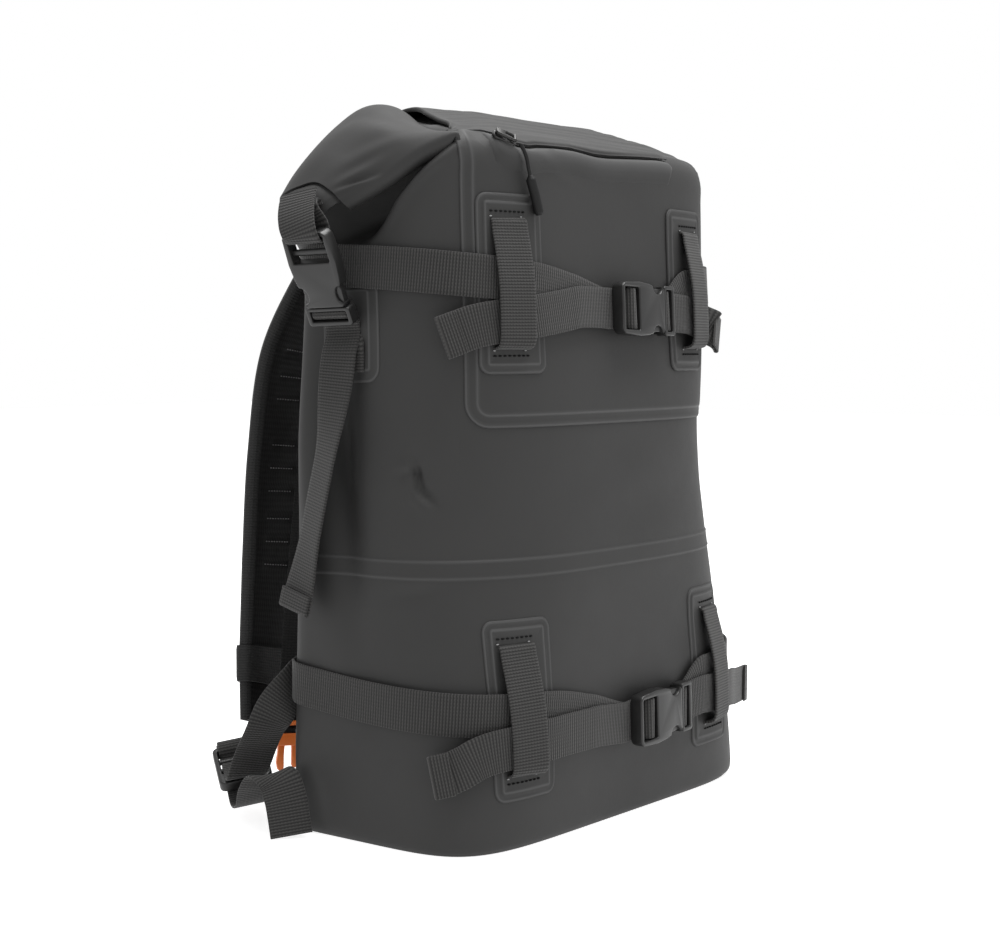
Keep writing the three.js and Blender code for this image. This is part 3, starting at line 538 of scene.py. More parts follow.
# Places of the closure buckle, the ladder lock and the chest clip on the left
CLOSURE = frame_from((-168, 25.5, 329.5), (0.44, 0.02, -0.9), (-1, -0.1, 0))
LOCK = frame_from((-142, 120, 28), (-0.5, -0.74, -0.44), (-0.35, -0.2, 0.9))
CHEST = frame_from((-98, 117, 26), (0.02, 0, 1), (-0.6, -0.8, 0))
# Webbing round the bar at either end of a buckle: distance from its middle and height, there and back
WRAP = {
    "socket": [
        (34, -6.6), (24, -6.4), (17, -4.8), (13.2, -2.6), (12.4, 0.2), (13.6, 2.4), (16, 3.1),
        (18.6, 2.0), (20.4, -0.8), (22.8, -3.8), (26.5, -5.1), (34, -5.1),
    ],
    "plug": [
        (36, -6.6), (29, -6.2), (24, -4.6), (20.8, -2.4), (20.2, 0), (21.2, 1.9), (22.9, 2.5),
        (24.6, 1.6), (25.3, -0.8), (26.4, -3.4), (29.5, -4.9), (36, -5.0),
    ],
}


def wrap_round(place, half, side, scale=1.0):
    return put(place, [(side * scale * x, 0, scale * z) for x, z in WRAP[half]])


# Moulded plates from flat outlines with holes and rounded edges
def outline_points(x0, x1, y0, y1, r, steps=5):
    points = []
    corners = ((x1 - r, y1 - r), (x0 + r, y1 - r), (x0 + r, y0 + r), (x1 - r, y0 + r))
    for (x, y), start in zip(corners, (0, 90, 180, 270)):
        arc = np.radians(np.linspace(start, start + 90, steps))
        points += [(x + r * math.cos(t), y + r * math.sin(t)) for t in arc]
    return points


def moulded(loops, low, high, edge):
    """A plate between two heights from an outline and its holes, with rounded edges."""
    data = bpy.data.curves.new("outline", "CURVE")
    data.dimensions = "2D"
    data.fill_mode = "BOTH"
    data.extrude = (high - low) / 2 - edge
    data.bevel_depth = edge
    data.bevel_resolution = 2
    data.offset = -edge
    for loop in loops:
        line = data.splines.new("POLY")
        line.points.add(len(loop) - 1)
        for point, (x, y) in zip(line.points, loop):
            point.co = (x, y, 0, 1)
        line.use_cyclic_u = True
    holder = bpy.data.objects.new("outline", data)
    bpy.context.scene.collection.objects.link(holder)
    bpy.context.view_layer.update()
    solid = bpy.data.meshes.new_from_object(holder.evaluated_get(bpy.context.evaluated_depsgraph_get()))
    work = bmesh.new()
    work.from_mesh(solid)
    bmesh.ops.remove_doubles(work, verts=work.verts, dist=0.01)
    work.verts.index_update()
    points = np.array([v.co for v in work.verts]) + (0, 0, (low + high) / 2)
    faces = [[v.index for v in f.verts] for f in work.faces]
    work.free()
    bpy.data.objects.remove(holder)
    bpy.data.curves.remove(data)
    bpy.data.meshes.remove(solid)
    return points, faces, points[:, :2]


def bar(x, y0, y1, z, rx, rz):
    """A rounded bar across a buckle."""
    y = np.array([y0, y0, y1, y1])
    grow = np.array([0.01, 1, 1, 0.01])
    angle = np.linspace(0, math.tau, 12, endpoint=False)
    grid = np.stack([
        x + np.outer(grow, np.cos(angle)) * rx,
        np.repeat(y[:, None], 12, axis=1),
        z + np.outer(grow, np.sin(angle)) * rz,
    ], -1)
    return wrapped(grid, grid[..., :2], closed=True, cap=True)


def in_place(place, parts, scale=1.0):
    return [(put(place, points * scale), faces, flat * scale) for points, faces, flat in parts]


def turned_end(parts):
    """The same parts turned half round in their own plane."""
    return [(points * (-1, -1, 1), faces, flat) for points, faces, flat in parts]


def buckle_socket():
    half, joint = BUCKLE["half"], BUCKLE["joint"]
    turns = np.radians(np.arange(0, 181, 15))
    notch = [(9.8 - 5.4 * math.cos(t), 14.6 - 4.8 * math.sin(t)) for t in turns]
    start = [(-half, 12.6), (1.0 - half, 14.4), (3.0 - half, 15.8)]
    start += [(-10, BUCKLE["width"] / 2), (0, 15.9), (3.6, 15.0)]
    upper = [*start, *notch, (16.0, 14.0), (joint, 12.6)]
    body = [*upper, *[(x, -y) for x, y in reversed(upper)]]
    slot = outline_points(-26.4, -10.6, -13.1, 13.1, 1.0)
    thick = BUCKLE["thick"] / 2
    shell = moulded([body, slot], -thick, thick, 1.0)
    return [shell, bar(-16, -13.6, 13.6, -0.3, 2.1, 1.5)]


def plug_parts(start, corner, thick, edge, arm, arm_thick, arm_edge):
    """A plug from where its body starts: the body with its slot, two arms and the bar for the webbing."""
    body = outline_points(start, BUCKLE["half"], -15.6, 15.6, corner)
    slot = outline_points(19.9, 26.4, -13.1, 13.1, 0.8)
    parts = [moulded([body, slot], -thick, thick, edge)]
    for side in (-1, 1):
        parts.append(moulded([[(x, side * y) for x, y in arm]], -arm_thick, arm_thick, arm_edge))
    return [*parts, bar(22.9, -13.6, 13.6, 0, 1.6, 1.5)]


def buckle_plug():
    arm = [(2, 9.0), (3.6, 12.4), (7, 13.6), (12, 13.4), (18.5, 13.0), (18.5, 9.4), (10, 9.2)]
    return plug_parts(BUCKLE["joint"] + 0.3, 2.0, 3.9, 0.8, arm, 2.4, 0.6)


def chest_plug():
    """A plug out of its socket, with both arms and its guide bare."""
    arm = [(-12, 10.5), (-9, 14.6), (-3, 15.6), (4, 14.4), (12, 14.2), (12, 8.6), (2, 9.4), (-7, 9.4)]
    *parts, web_bar = plug_parts(10, 2.4, 4.4, 1.0, arm, 3.2, 0.8)
    guide = moulded([outline_points(-8, 12, -3.2, 3.2, 2.0)], -3.0, 3.0, 0.8)
    return [*parts, guide, web_bar]


# Materials: sums on sockets are written as plain expressions
class Value:
    """A socket that plain signs add, subtract and multiply."""

    def __init__(self, tree, socket):
        self.tree = tree
        self.socket = socket

    def maths(self, operation, first, second):
        node = self.tree.nodes.new("ShaderNodeMath")
        node.operation = operation
        for socket, item in zip(node.inputs, (first, second)):
            if isinstance(item, Value):
                self.tree.links.new(item.socket, socket)
            else:
                socket.default_value = item
        return Value(self.tree, node.outputs[0])

    def __add__(self, other):
        return self.maths("ADD", self, other)

    def __radd__(self, other):
        return self.maths("ADD", other, self)

    def __sub__(self, other):
        return self.maths("SUBTRACT", self, other)

    def __mul__(self, other):
        return self.maths("MULTIPLY", self, other)

    def __rmul__(self, other):
        return self.maths("MULTIPLY", other, self)

    def sine(self):
        return self.maths("SINE", self, 0.0)


class Finish:
    """A material with its shader, to which nodes are added one by one."""

    def __init__(self, name, **sockets):
        self.material = bpy.data.materials.new(name)
        self.material.use_nodes = True
        self.tree = self.material.node_tree
        self.shader = self.tree.nodes["Principled BSDF"]
        for key, value in sockets.items():
            self.shader.inputs[key.replace("_", " ")].default_value = value

    def node(self, kind, settings=None, sockets=None, output=0):
        node = self.tree.nodes.new(kind)
        for key, value in (settings or {}).items():
            setattr(node, key, value)
        for key, value in (sockets or {}).items():
            if isinstance(value, Value):
                self.tree.links.new(value.socket, node.inputs[key])
            else:
                node.inputs[key].default_value = value
        return Value(self.tree, node.outputs[output])

    def feed(self, socket, value):
        self.tree.links.new(value.socket, self.shader.inputs[socket])

    def object_place(self):
        return self.node("ShaderNodeTexCoord", output="Object")

    def flat_axes(self):
        """Distances across a piece that is laid flat, and along it."""
        split = self.tree.nodes.new("ShaderNodeSeparateXYZ")
        self.tree.links.new(self.node("ShaderNodeUVMap", {"uv_map": "flat"}).socket, split.inputs[0])
        return Value(self.tree, split.outputs[0]), Value(self.tree, split.outputs[1])

    def noise(self, place, scale, detail=3.0, rough=0.5):
        sockets = {"Vector": place, "Scale": scale, "Detail": detail, "Roughness": rough}
        return self.node("ShaderNodeTexNoise", None, sockets)

    def blend(self, mask, first, second):
        return self.node("ShaderNodeMix", {"data_type": "RGBA"}, {0: mask, 6: first, 7: second}, output=2)

    def two_tone(self, mask, dark, light):
        return self.blend(mask, (*dark, 1), (*light, 1))

    def bump(self, height, strength, distance):
        sockets = {"Height": height, "Strength": strength, "Distance": distance}
        self.feed("Normal", self.node("ShaderNodeBump", None, sockets))


def grey(level, warm=0.0):
    return (level * (1 + warm), level, level * (1 - warm))


def coated_cloth():
    cloth = Finish("coated_cloth", Roughness=0.62, Specular_IOR_Level=0.25)
    place = cloth.object_place()
    grain = cloth.noise(place, 1500.0, 4.0, 0.6)
    weave = cloth.noise(place, 420.0, 2.0)
    cloud = cloth.noise(place, 14.0, 3.0)
    scuff = cloth.noise(place, 60.0, 5.0, 0.7)
    mask = 0.55 * cloud + 0.25 * scuff + 0.2 * grain
    tone = cloth.two_tone(mask, grey(0.013, 0.01), grey(0.0215, 0.015))
    # Painted highlight: marked face corners get a pale grey base colour in place of the light that welds and
    # the lower zip lip catch
    weld_highlight = cloth.node("ShaderNodeAttribute", {"attribute_name": "weld_highlight"}, output="Fac")
    cloth.feed("Base Color", cloth.blend(weld_highlight, tone, (*grey(0.042), 1)))
    cloth.feed("Roughness", 0.48 + 0.14 * scuff + 0.1 * grain)
    cloth.bump(grain * 0.7 + weave * 0.5, 0.2, 0.0004)
    return cloth.material


# Pitch of the webbing's threads and ribs and of the mesh's cells, in metres
THREAD_PITCH = 0.0021
RIB_PITCH = 0.0018
CELL_PITCH = (0.0042, 0.0036)


def woven_webbing(name, dark, light):
    web = Finish(name, Roughness=0.8, Specular_IOR_Level=0.22, Sheen_Weight=0.08, Sheen_Roughness=0.5)
    across, along = web.flat_axes()
    lines = (across * (math.tau / THREAD_PITCH)).sine()
    ribs = (along * (math.tau / RIB_PITCH) + 0.3 * lines).sine() * 0.5 + 0.5
    threads = lines * 0.5 + 0.5
    fuzz = web.noise(web.object_place(), 2200.0, 3.0)
    mask = ribs * (0.55 + 0.25 * threads) + fuzz * 0.25
    web.feed("Base Color", web.two_tone(mask, dark, light))
    web.feed("Roughness", 0.68 + 0.2 * fuzz)
    web.bump(ribs * 0.8 + threads * 0.25 + fuzz * 0.2, 0.6, 0.0005)
    return web.material


def moulded_plastic(name, dark, light, rough, shine):
    plastic = Finish(name, Roughness=rough, Specular_IOR_Level=shine)
    place = plastic.object_place()
    spark = plastic.noise(place, 2600.0, 2.0)
    cloud = plastic.noise(place, 90.0, 4.0, 0.65)
    plastic.feed("Base Color", plastic.two_tone(cloud * 0.7 + spark * 0.3, dark, light))
    plastic.feed("Roughness", (rough - 0.08) + 0.2 * cloud * spark + 0.06 * spark)
    plastic.bump(spark, 0.12, 0.0002)
    return plastic.material


def spacer_mesh():
    mesh = Finish("strap_mesh", Roughness=0.9, Specular_IOR_Level=0.2)
    across, along = [place * (math.tau / pitch) for place, pitch in zip(mesh.flat_axes(), CELL_PITCH)]
    cells = (across + along * 0.5).sine() * (across - along * 0.5).sine()
    holes = cells * 0.5 + 0.5
    fuzz = mesh.noise(mesh.object_place(), 1800.0, 3.0)
    mesh.feed("Base Color", mesh.two_tone(holes * 0.75 + fuzz * 0.25, grey(0.0035), grey(0.013, 0.02)))
    mesh.feed("Roughness", 0.78 + 0.2 * fuzz)
    mesh.bump(holes + fuzz * 0.2, 0.6, 0.0006)
    return mesh.material


def plated_metal():
    metal = Finish("plated_slider", Metallic=0.5, Roughness=0.3)
    cloud = metal.noise(metal.object_place(), 700.0, 4.0)
    metal.feed("Base Color", metal.two_tone(cloud, grey(0.003), grey(0.025, 0.03)))
    metal.feed("Roughness", 0.2 + 0.2 * cloud)
    metal.bump(cloud, 0.1, 0.0002)
    return metal.material


# Finishes of this bag
CLOTH = coated_cloth()
WEBBING = woven_webbing("ribbed_webbing", grey(0.003), grey(0.037, 0.03))
TRIM = woven_webbing("binding_tape", grey(0.004), grey(0.011, 0.02))
PLASTIC = moulded_plastic("moulded_black", grey(0.006), grey(0.011, 0.02), 0.36, 0.36)
ORANGE = moulded_plastic("moulded_orange", (0.62, 0.13, 0.02), (0.8, 0.2, 0.04), 0.42, 0.45)
RUBBER = moulded_plastic("soft_rubber", grey(0.003), grey(0.007), 0.6, 0.2)
DARK_THREAD = moulded_plastic("dark_thread", grey(0.002), grey(0.005), 0.8, 0.1)
PALE_THREAD = moulded_plastic("pale_thread", grey(0.14), grey(0.24), 0.8, 0.2)
MESH = spacer_mesh()
METAL = plated_metal()


# Rows of stitches: every line of the given mesh carries short threads at even distances
def stitch_tree():
    tree = bpy.data.node_groups.new("stitch_rows", "GeometryNodeTree")
    face = tree.interface
    face.new_socket("Rows", in_out="INPUT", socket_type="NodeSocketGeometry")
    for name in ("Spacing", "Length", "Thickness"):
        face.new_socket(name, in_out="INPUT", socket_type="NodeSocketFloat")
    face.new_socket("Thread", in_out="INPUT", socket_type="NodeSocketMaterial")
    face.new_socket("Stitches", in_out="OUTPUT", socket_type="NodeSocketGeometry")

    def node(kind, **inputs):
        made = tree.nodes.new(kind)
        for key, value in inputs.items():
            socket = made.inputs[key.replace("_", " ")]
            if isinstance(value, bpy.types.NodeSocket):
                tree.links.new(value, socket)
            else:
                socket.default_value = value
        return made

    given = tree.nodes.new("NodeGroupInput").outputs
    curve = node("GeometryNodeMeshToCurve", Mesh=given["Rows"])
    points = tree.nodes.new("GeometryNodeCurveToPoints")
    points.mode = "LENGTH"
    tree.links.new(curve.outputs[0], points.inputs["Curve"])
    tree.links.new(given["Spacing"], points.inputs["Length"])
    ball = node("GeometryNodeMeshIcoSphere", Radius=0.5, Subdivisions=2)
    size = node("ShaderNodeCombineXYZ", X=given["Length"], Y=given["Thickness"], Z=given["Thickness"])
    thread = node("GeometryNodeTransform", Geometry=ball.outputs["Mesh"], Scale=size.outputs[0])
    soft = node("GeometryNodeSetShadeSmooth", Geometry=thread.outputs[0])
    turn = node("FunctionNodeAlignRotationToVector", Vector=points.outputs["Tangent"])
    turn.axis = "X"
    placed = node(
        "GeometryNodeInstanceOnPoints",
        Points=points.outputs["Points"],
        Instance=soft.outputs[0],
        Rotation=turn.outputs[0],
    )
    real = node("GeometryNodeRealizeInstances", Geometry=placed.outputs[0])
    finished = node("GeometryNodeSetMaterial", Geometry=real.outputs[0], Material=given["Thread"])
    tree.links.new(finished.outputs[0], tree.nodes.new("NodeGroupOutput").inputs[0])
    return tree


STITCHES = stitch_tree()


def stitched(name, rows, spacing, length, thick, thread):
    """A piece of stitches along rows of points."""
    points = np.concatenate(rows) * 0.001
    edges, start = [], 0
    for row in rows:
        edges += [(start + i, start + i + 1) for i in range(len(row) - 1)]
        start += len(row)
    mesh = bpy.data.meshes.new(name)
    mesh.from_pydata(points.tolist(), edges, [])
    obj = bpy.data.objects.new(name, mesh)
    bpy.context.scene.collection.objects.link(obj)
    modifier = obj.modifiers.new("stitches", "NODES")
    modifier.node_group = STITCHES
    values = {"Spacing": spacing / 1000, "Length": length / 1000, "Thickness": thick / 1000}
    values["Thread"] = thread
    for item in STITCHES.interface.items_tree:
        if item.name in values:
            modifier[item.identifier] = values[item.name]
    bpy.context.view_layer.update()
    made = bpy.data.meshes.new_from_object(obj.evaluated_get(bpy.context.evaluated_depsgraph_get()))
    obj.modifiers.remove(modifier)
    obj.data = made
    bpy.data.meshes.remove(mesh)
    made.name = name
    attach(obj, "root")
    return obj


# Body of the bag
def body_heights():
    return np.concatenate([
        [0, 0.5, 1.2, 2.1, 3.2, 4.6, 6.5, 9],
        np.arange(12, 153, 2.9),
        np.arange(153.5, 171, 0.55),
        np.arange(172, 376, 2.5),
        np.arange(377, 426, 1.1),
        [TOP],
    ])


def body():
    heights = body_heights()
    shares = np.linspace(-1, 1, BODY_COLUMNS, endpoint=False)
    s = shares[None, :] * half_round(heights)[:, None]
    z = np.broadcast_to(heights[:, None], s.shape)
    wall = on_skin(s, z)
    wall[..., 2] = np.maximum(wall[..., 2], 0)
    floor_rows = [wall[0] * (share, share, 0) for share in FLOOR_SHARES]
    grid = np.concatenate([np.array(floor_rows), wall])
    around = np.concatenate([np.broadcast_to(s[0], (len(FLOOR_SHARES), BODY_COLUMNS)), s])
    points, faces, places = wrapped(grid, np.stack([around, grid[..., 2]], -1), closed=True)
    faces.append(list(range(BODY_COLUMNS))[::-1])
    nodes = ("base_shell", "upper_shell")
    shell = piece("body_cloth", [(points, faces, places)], CLOTH, nodes, None)
    height = flat_places(shell)[:, 1]
    # Painted highlight along the two pressed seam lines
    paint_weld_highlights(shell, SEAM["shine"] * sum(bell(height, line, SEAM["line"]) for line in SEAM_LINES))


# Welded edges: rows of inset and lift, and the insets of their two painted highlight lines
POCKET_WELD = [
    (0.0, 0.3), (0.4, 0.9), (1.0, 1.2), (1.8, 1.0), (3.5, 0.9), (6.2, 0.9), (6.8, 1.2), (7.4, 1.7),
    (8.2, 1.8), (9.4, 1.7),
]
LOOP_WELD = [(0.0, 0.2), (0.5, 0.8), (1.2, 1.1), (2.0, 0.6), (4.4, 0.5), (5.0, 1.1), (5.8, 1.4), (6.8, 1.1)]
SIDE_WELD = [
    (0.0, 0.2), (0.4, 0.5), (1.0, 0.75), (1.8, 0.6), (6.2, 0.55), (6.8, 0.85), (7.4, 1.05), (8.4, 0.9),
]
WIDE_RIM_HIGHLIGHTS = (1.0, 7.4)
LOOP_RIM_HIGHLIGHTS = (1.2, 5.8)


def pocket():
    part = patch(**POCKET, steps=POCKET_WELD)
    panel = piece("pocket_cloth", [part], CLOTH, ("pocket_panel",), None)
    # Painted highlight lines along the pocket's weld
    paint_rim_highlights(panel, **POCKET, insets=WIDE_RIM_HIGHLIGHTS)


# Sewn loops: place of their middle, and lift of what they are sewn on
LOOPS = {
    "upper_left": (-100, 326, 2.2),
    "upper_right": (88, 326, 2.2),
    "lower_left": (-107, 81, 0.0),
    "lower_right": (97, 81, 0.0),
}
# Line of a sewn loop from its lower end: height from its middle and lift
ARCH = [
    (-37.2, -1.6), (-37, 0.8), (-36, 3.6), (-33, 5.4), (-27, 6.0), (0, 5.9), (17, 3.6), (31, 0.9),
    (36, 0.2), (37.2, -1.2),
]
# Tacks of a loop: dark rows past its ends and short pale rows at its corners, from its middle
DARK_TACKS = {"away": 41.4, "half": 11.5, "lift": 1.4}
PALE_TACKS = {"away": 38.4, "starts": (-12, 9.5), "long": 2.5, "lift": 1.6}


def loops():
    dark, pale = [], []
    reach = LOOP_PATCH
    for name, (s, z, ground) in LOOPS.items():
        on_left, on_right = ("outer", "inner") if s < 0 else ("inner", "outer")
        edges = (s - reach[on_left], s + reach[on_right], z - reach["half"], z + reach["half"])
        rim = (*edges, reach["corner"])
        part = patch(*rim, LOOP_WELD, ground)
        plate = piece(f"loop_backing_{name}", [part], CLOTH, (f"loop_patch_{name}",), None)
        # Painted highlight lines along the backing's weld
        paint_rim_highlights(plate, *rim, LOOP_RIM_HIGHLIGHTS)
        seat = ground + reach["top"] + WEB_THICK / 2
        line = spline(over_even_skin([(s, z + dz, seat + lift) for dz, lift in ARCH]), 1.2)
        sideways = directions(s + math.copysign(7, s), z)[0]
        obj = piece(f"loop_{name}", [ribbon(line, sideways)], WEBBING, (f"strap_loop_{name}",))
        for end in (-1, 1):
            across = np.linspace(s - DARK_TACKS["half"], s + DARK_TACKS["half"], 12)
            dark.append(on_skin(across, z + end * DARK_TACKS["away"], ground + DARK_TACKS["lift"]))
            for start in PALE_TACKS["starts"]:
                across = np.linspace(s + start, s + start + PALE_TACKS["long"], 3)
                pale.append(on_skin(across, z + end * PALE_TACKS["away"], ground + PALE_TACKS["lift"]))
    stitched("loop_tacks", dark, spacing=3.0, length=2.4, thick=1.2, thread=DARK_THREAD)
    stitched("loop_corner_tacks", pale, spacing=4.0, length=1.8, thick=0.8, thread=PALE_THREAD)


# Compression straps: place, lift and turn of the buckle, then webbing as places on the skin and lift;
# only right_end is in the frame of the part
COMPRESSION = {
    "upper": {
        "buckle": (19, 312, 10.8, -0.03),
        "main": [(262, 340, 2.1), (205, 337, 1.8), (160, 334, 2), (130, 331, 5.1), (78, 326, 5.2)],
        "left_end": (-45, 320, 5.2),
        "left_tail": [
            (-45, 313, 7.4), (-78, 308, 7.2), (-122, 302, 7.5), (-132, 298.5, 9.5), (-140, 295, 12.5),
        ],
        "right_tail": [(74, 310, 7.2), (106, 304, 7.5)],
        "right_end": [(111, -65.5, 301), (118, -64, 297)],
    },
    "lower": {
        "buckle": (21, 61, 9.2, 0.04),
        "main": [(268, 90, 2.1), (212, 85, 1.8), (165, 82, 1.9), (136, 80, 3.3), (78, 76, 3.3)],
        "left_end": (-45, 69, 3.4),
        "left_tail": [(-45, 62.5, 5.6), (-84, 62, 5.8), (-134, 58, 5.8), (-150, 50, 8), (-160, 47, 11)],
        "right_tail": [(76, 64, 5.6), (122, 61, 5.8)],
        "right_end": [(148, -63, 57), (183, -49, 53)],
    },
}


def compression_straps():
    socket, plug = buckle_socket(), buckle_plug()
    for level, strap in COMPRESSION.items():
        s, z, lift, turn = strap["buckle"]
        place = frame_on_skin(s, z, lift, turn)
        for half, parts in (("socket", socket), ("plug", plug)):
            name = f"{level}_buckle_{half}"
            placed = in_place(place, parts)
            piece(f"{level}_clip_{half}", placed, PLASTIC, (name,), HARD_EDGE)
        main = strap["main"]
        left = np.concatenate([
            plain_track([(-a, b, c) for a, b, c in main] + [strap["left_end"]]),
            wrap_round(place, "socket", -1),
            plain_track(strap["left_tail"]),
        ])
        right = np.concatenate([
            plain_track(main),
            wrap_round(place, "plug", 1),
            plain_track(strap["right_tail"]),
            np.array(strap["right_end"], float),
        ])
        _, up, out = directions(s, z)
        for side, points in (("left", left), ("right", right)):
            line, near = fold_back(spline(points, 1.6), up, out, 11)
            part = ribbon(line, near)
            name = f"{level}_strap_{side}"
            obj = piece(f"{level}_webbing_{side}", [part], WEBBING, (name,))


# Webbing where it comes out of an ear
EAR_WEB_INSIDE = [(-150, 42, 394), (-158, 42.5, 384), (-164.5, 41.5, 374)]
# The same webbing round the end bar of its buckle and back up, in the buckle's own frame
EAR_WEB = [
    (-39, -3.5, -6.8), (-34, -1.5, -6.6), (-29, 0, -6.4), (-24.2, 0, -4.6), (-22.8, 0, 0),
    (-23.8, 0, 4.2), (-28, 0, 5.8), (-33, -1.2, 4.4), (-38, -3, 0.5), (-43, -5, -5.5),
    (-48, -6.5, -13),
]
# Closure strap: where it is sewn on the side, its free tail, and the way the tail is turned
CLOSURE_SEAT = [(-204, 275, 2.2), (-204, 283, 2.2), (-204, 290, 2.6)]
CLOSURE_TAIL = [
    (-152.5, 26, 285), (-155, 27, 265), (-158, 30, 235), (-161.5, 36, 200), (-165, 43, 160),
    (-167, 48.5, 136),
]
TAIL_TURN = (-0.34, -0.94, 0)


def side_closure():
    backing = [patch(**SIDE_PATCH, steps=SIDE_WELD)]
    for obj in both_sides("side_backing", backing, CLOTH, ["side_patch"], None):
        # Painted highlight lines along the backing's weld
        paint_rim_highlights(obj, **SIDE_PATCH, insets=WIDE_RIM_HIGHLIGHTS)
    for half, parts in (("socket", buckle_socket()), ("plug", buckle_plug())):
        placed = in_place(CLOSURE, parts)
        both_sides(f"closure_clip_{half}", placed, PLASTIC, [f"closure_{half}"], HARD_EDGE)
    across = CLOSURE[1][1]
    line = spline(np.concatenate([EAR_WEB_INSIDE, put(CLOSURE, EAR_WEB)]), 1.4)
    made = both_sides("ear_webbing", [ribbon(line, across)], WEBBING, ["closure_web"])
    seat = plain_track(CLOSURE_SEAT)
    line = spline(np.concatenate([seat, wrap_round(CLOSURE, "plug", 1), CLOSURE_TAIL]), 1.6)
    share = share_along(line)
    turn = (smooth(0.38, 0.62, share) * (1 - 0.6 * smooth(0.8, 1.0, share)))[:, None]
    line, near = fold_back(line, across * (1 - turn) + np.array(TAIL_TURN) * turn, (-1, 0, 0), 12)
    made = both_sides("closure_webbing", [ribbon(line, near)], WEBBING, ["closure_strap"])


# Ears of the rolled mouth, as on the left: rows from the valley by the roll to the tip,
# each from the front edge over the ridge to the back
EAR_TIP = [
    [
        (-150, -4, 387), (-151.5, 9, 394), (-152, 24, 400.5), (-152, 40, 402.5), (-150.5, 54, 398.5),
        (-148, 65, 388), (-144, 67, 376),
    ],
    [
        (-161, 16, 373.5), (-163, 21.5, 379), (-165, 31, 384), (-167.5, 41, 382), (-169.5, 49.5, 379),
        (-169, 55, 375), (-161, 58, 366),
    ],
]
EARS = {
    "left": [
        [
            (-124, -42, 407), (-101, -12, 411), (-85, 12, 417), (-70, 35, 425), (-68, 52, 425),
            (-68, 66, 416), (-68, 69, 404),
        ],
        [
            (-128, -40, 411), (-121, -18, 414), (-111, 6, 421.5), (-99, 32, 433.5), (-97, 52, 434),
            (-97, 67, 421), (-98, 70.5, 406),
        ],
        [
            (-139, -24, 402.5), (-138, -8, 410), (-133, 12, 418), (-127, 34, 424), (-123, 54, 421),
            (-120, 68, 406), (-119, 71, 392),
        ],
        *EAR_TIP,
    ],
    "right": [
        [
            (-106, -34, 407), (-100, -12, 411), (-96, 12, 417), (-92, 35, 425), (-90, 52, 425),
            (-90, 66, 416), (-90, 69, 404),
        ],
        [
            (-119, -30, 409), (-118, -12, 416), (-116, 8, 423.5), (-113, 32, 431), (-110, 52, 431),
            (-107, 67, 419), (-107, 70.5, 406),
        ],
        [
            (-129, -25, 397), (-130, -8, 407), (-129, 12, 416), (-127, 34, 422), (-123, 54, 421),
            (-120, 68, 406), (-119, 71, 392),
        ],
        *EAR_TIP,
    ],
}
# Creases of an ear: back, down, slant in degrees, length, width, depth
EAR_CREASES = [
    (0.08, 0.85, 60, 0.11, 0.026, 1.6),
    (0.18, 0.77, 75, 0.14, 0.04, 1.0),
    (0.25, 0.59, 70, 0.17, 0.05, 0.9),
    (0.38, 0.44, 25, 0.22, 0.07, 0.8),
]
# How far the cloth curls under an ear's front edge, as a share of its way back
EAR_CURL = 0.12
# The end of the roll under an ear's tip closes on the webbing along this arch, from front to back
EAR_ARCH = [(-168, 27, 362), (-170, 30, 368), (-172, 35, 372.5), (-172.5, 42, 374), (-170.5, 50, 374.5)]


def ear_sheet(table, down, back, lift):
    """Places on an ear; where back is below nought, the cloth curls under the front edge."""
    table = np.array(table, float)
    rows, columns = table.shape[0] - 1, table.shape[1] - 1

    def even(d, b):
        lines = between(table, np.clip(d, 0, 1) * rows)
        return between(lines.transpose(1, 0, 2), np.clip(b, 0, 1) * columns).transpose(1, 0, 2)

    d, b = np.clip(down, 0.01, 0.99), np.clip(back, 0.01, 0.99)
    downwards = unit(even(d + 0.01, b) - even(d - 0.01, b))
    backwards = unit(even(d, b + 0.01) - even(d, b - 0.01))
    out = unit(np.cross(backwards, downwards))
    under = (np.clip(-back, 0, None) / EAR_CURL * 0.8 * math.pi)[None, :, None]
    radius = (0.8 + 4.5 * smooth(0.2, 0.45, down))[:, None, None]
    fold = 0.35 * waves(back[None, :] * 110, down[:, None] * 80, 26, 5) * smooth(0.25, 0.45, down)[:, None]
    fold = grooved(fold, EAR_CREASES, back[None, :], down[:, None], 0.6, 1.7)
    tilt = out * np.cos(under) - backwards * np.sin(under)
    place = even(down, back) + out * radius * (np.cos(under) - 1) - backwards * radius * np.sin(under)
    return place + tilt * (lift + fold)[..., None]


def ear_parts(table):
    """The outer cloth of an ear and the end of the roll under its tip, which closes on the webbing."""
    back = np.concatenate([np.linspace(-EAR_CURL, -0.01, 10), np.linspace(0, 1, 86)])
    outer = ear_sheet(table, np.linspace(0, 1, 80), back, 1.0)
    tip = ear_sheet(table, np.array([0.92, 0.99]), np.linspace(0.0, 0.73, 40), -0.9)
    arch = spline(EAR_ARCH, 0.5)
    share = share_along(tip[1])
    near = share_along(arch)
    arch = np.stack([np.interp(share, near, arch[:, k]) for k in range(3)], -1)
    rows = [tip[0], tip[1]]
    for t in (0.2, 0.4, 0.6, 0.8, 0.95, 1.0):
        rows.append(tip[1] * (1 - t) + arch * t + np.array((-1.5, 0, 0.8)) * math.sin(math.pi * t))
    end = between(np.array(rows), np.linspace(0, len(rows) - 1, 24))
    return [slab(outer, 1.5), slab(end, 1.3)]


# Line of the roll from left to right, with its ends turned down
ROLL_LINE = [(-60, 424), (-52, 428.5), (-40, 430.4), (0, 430.4), (60, 430.2), (84, 429), (96, 424)]


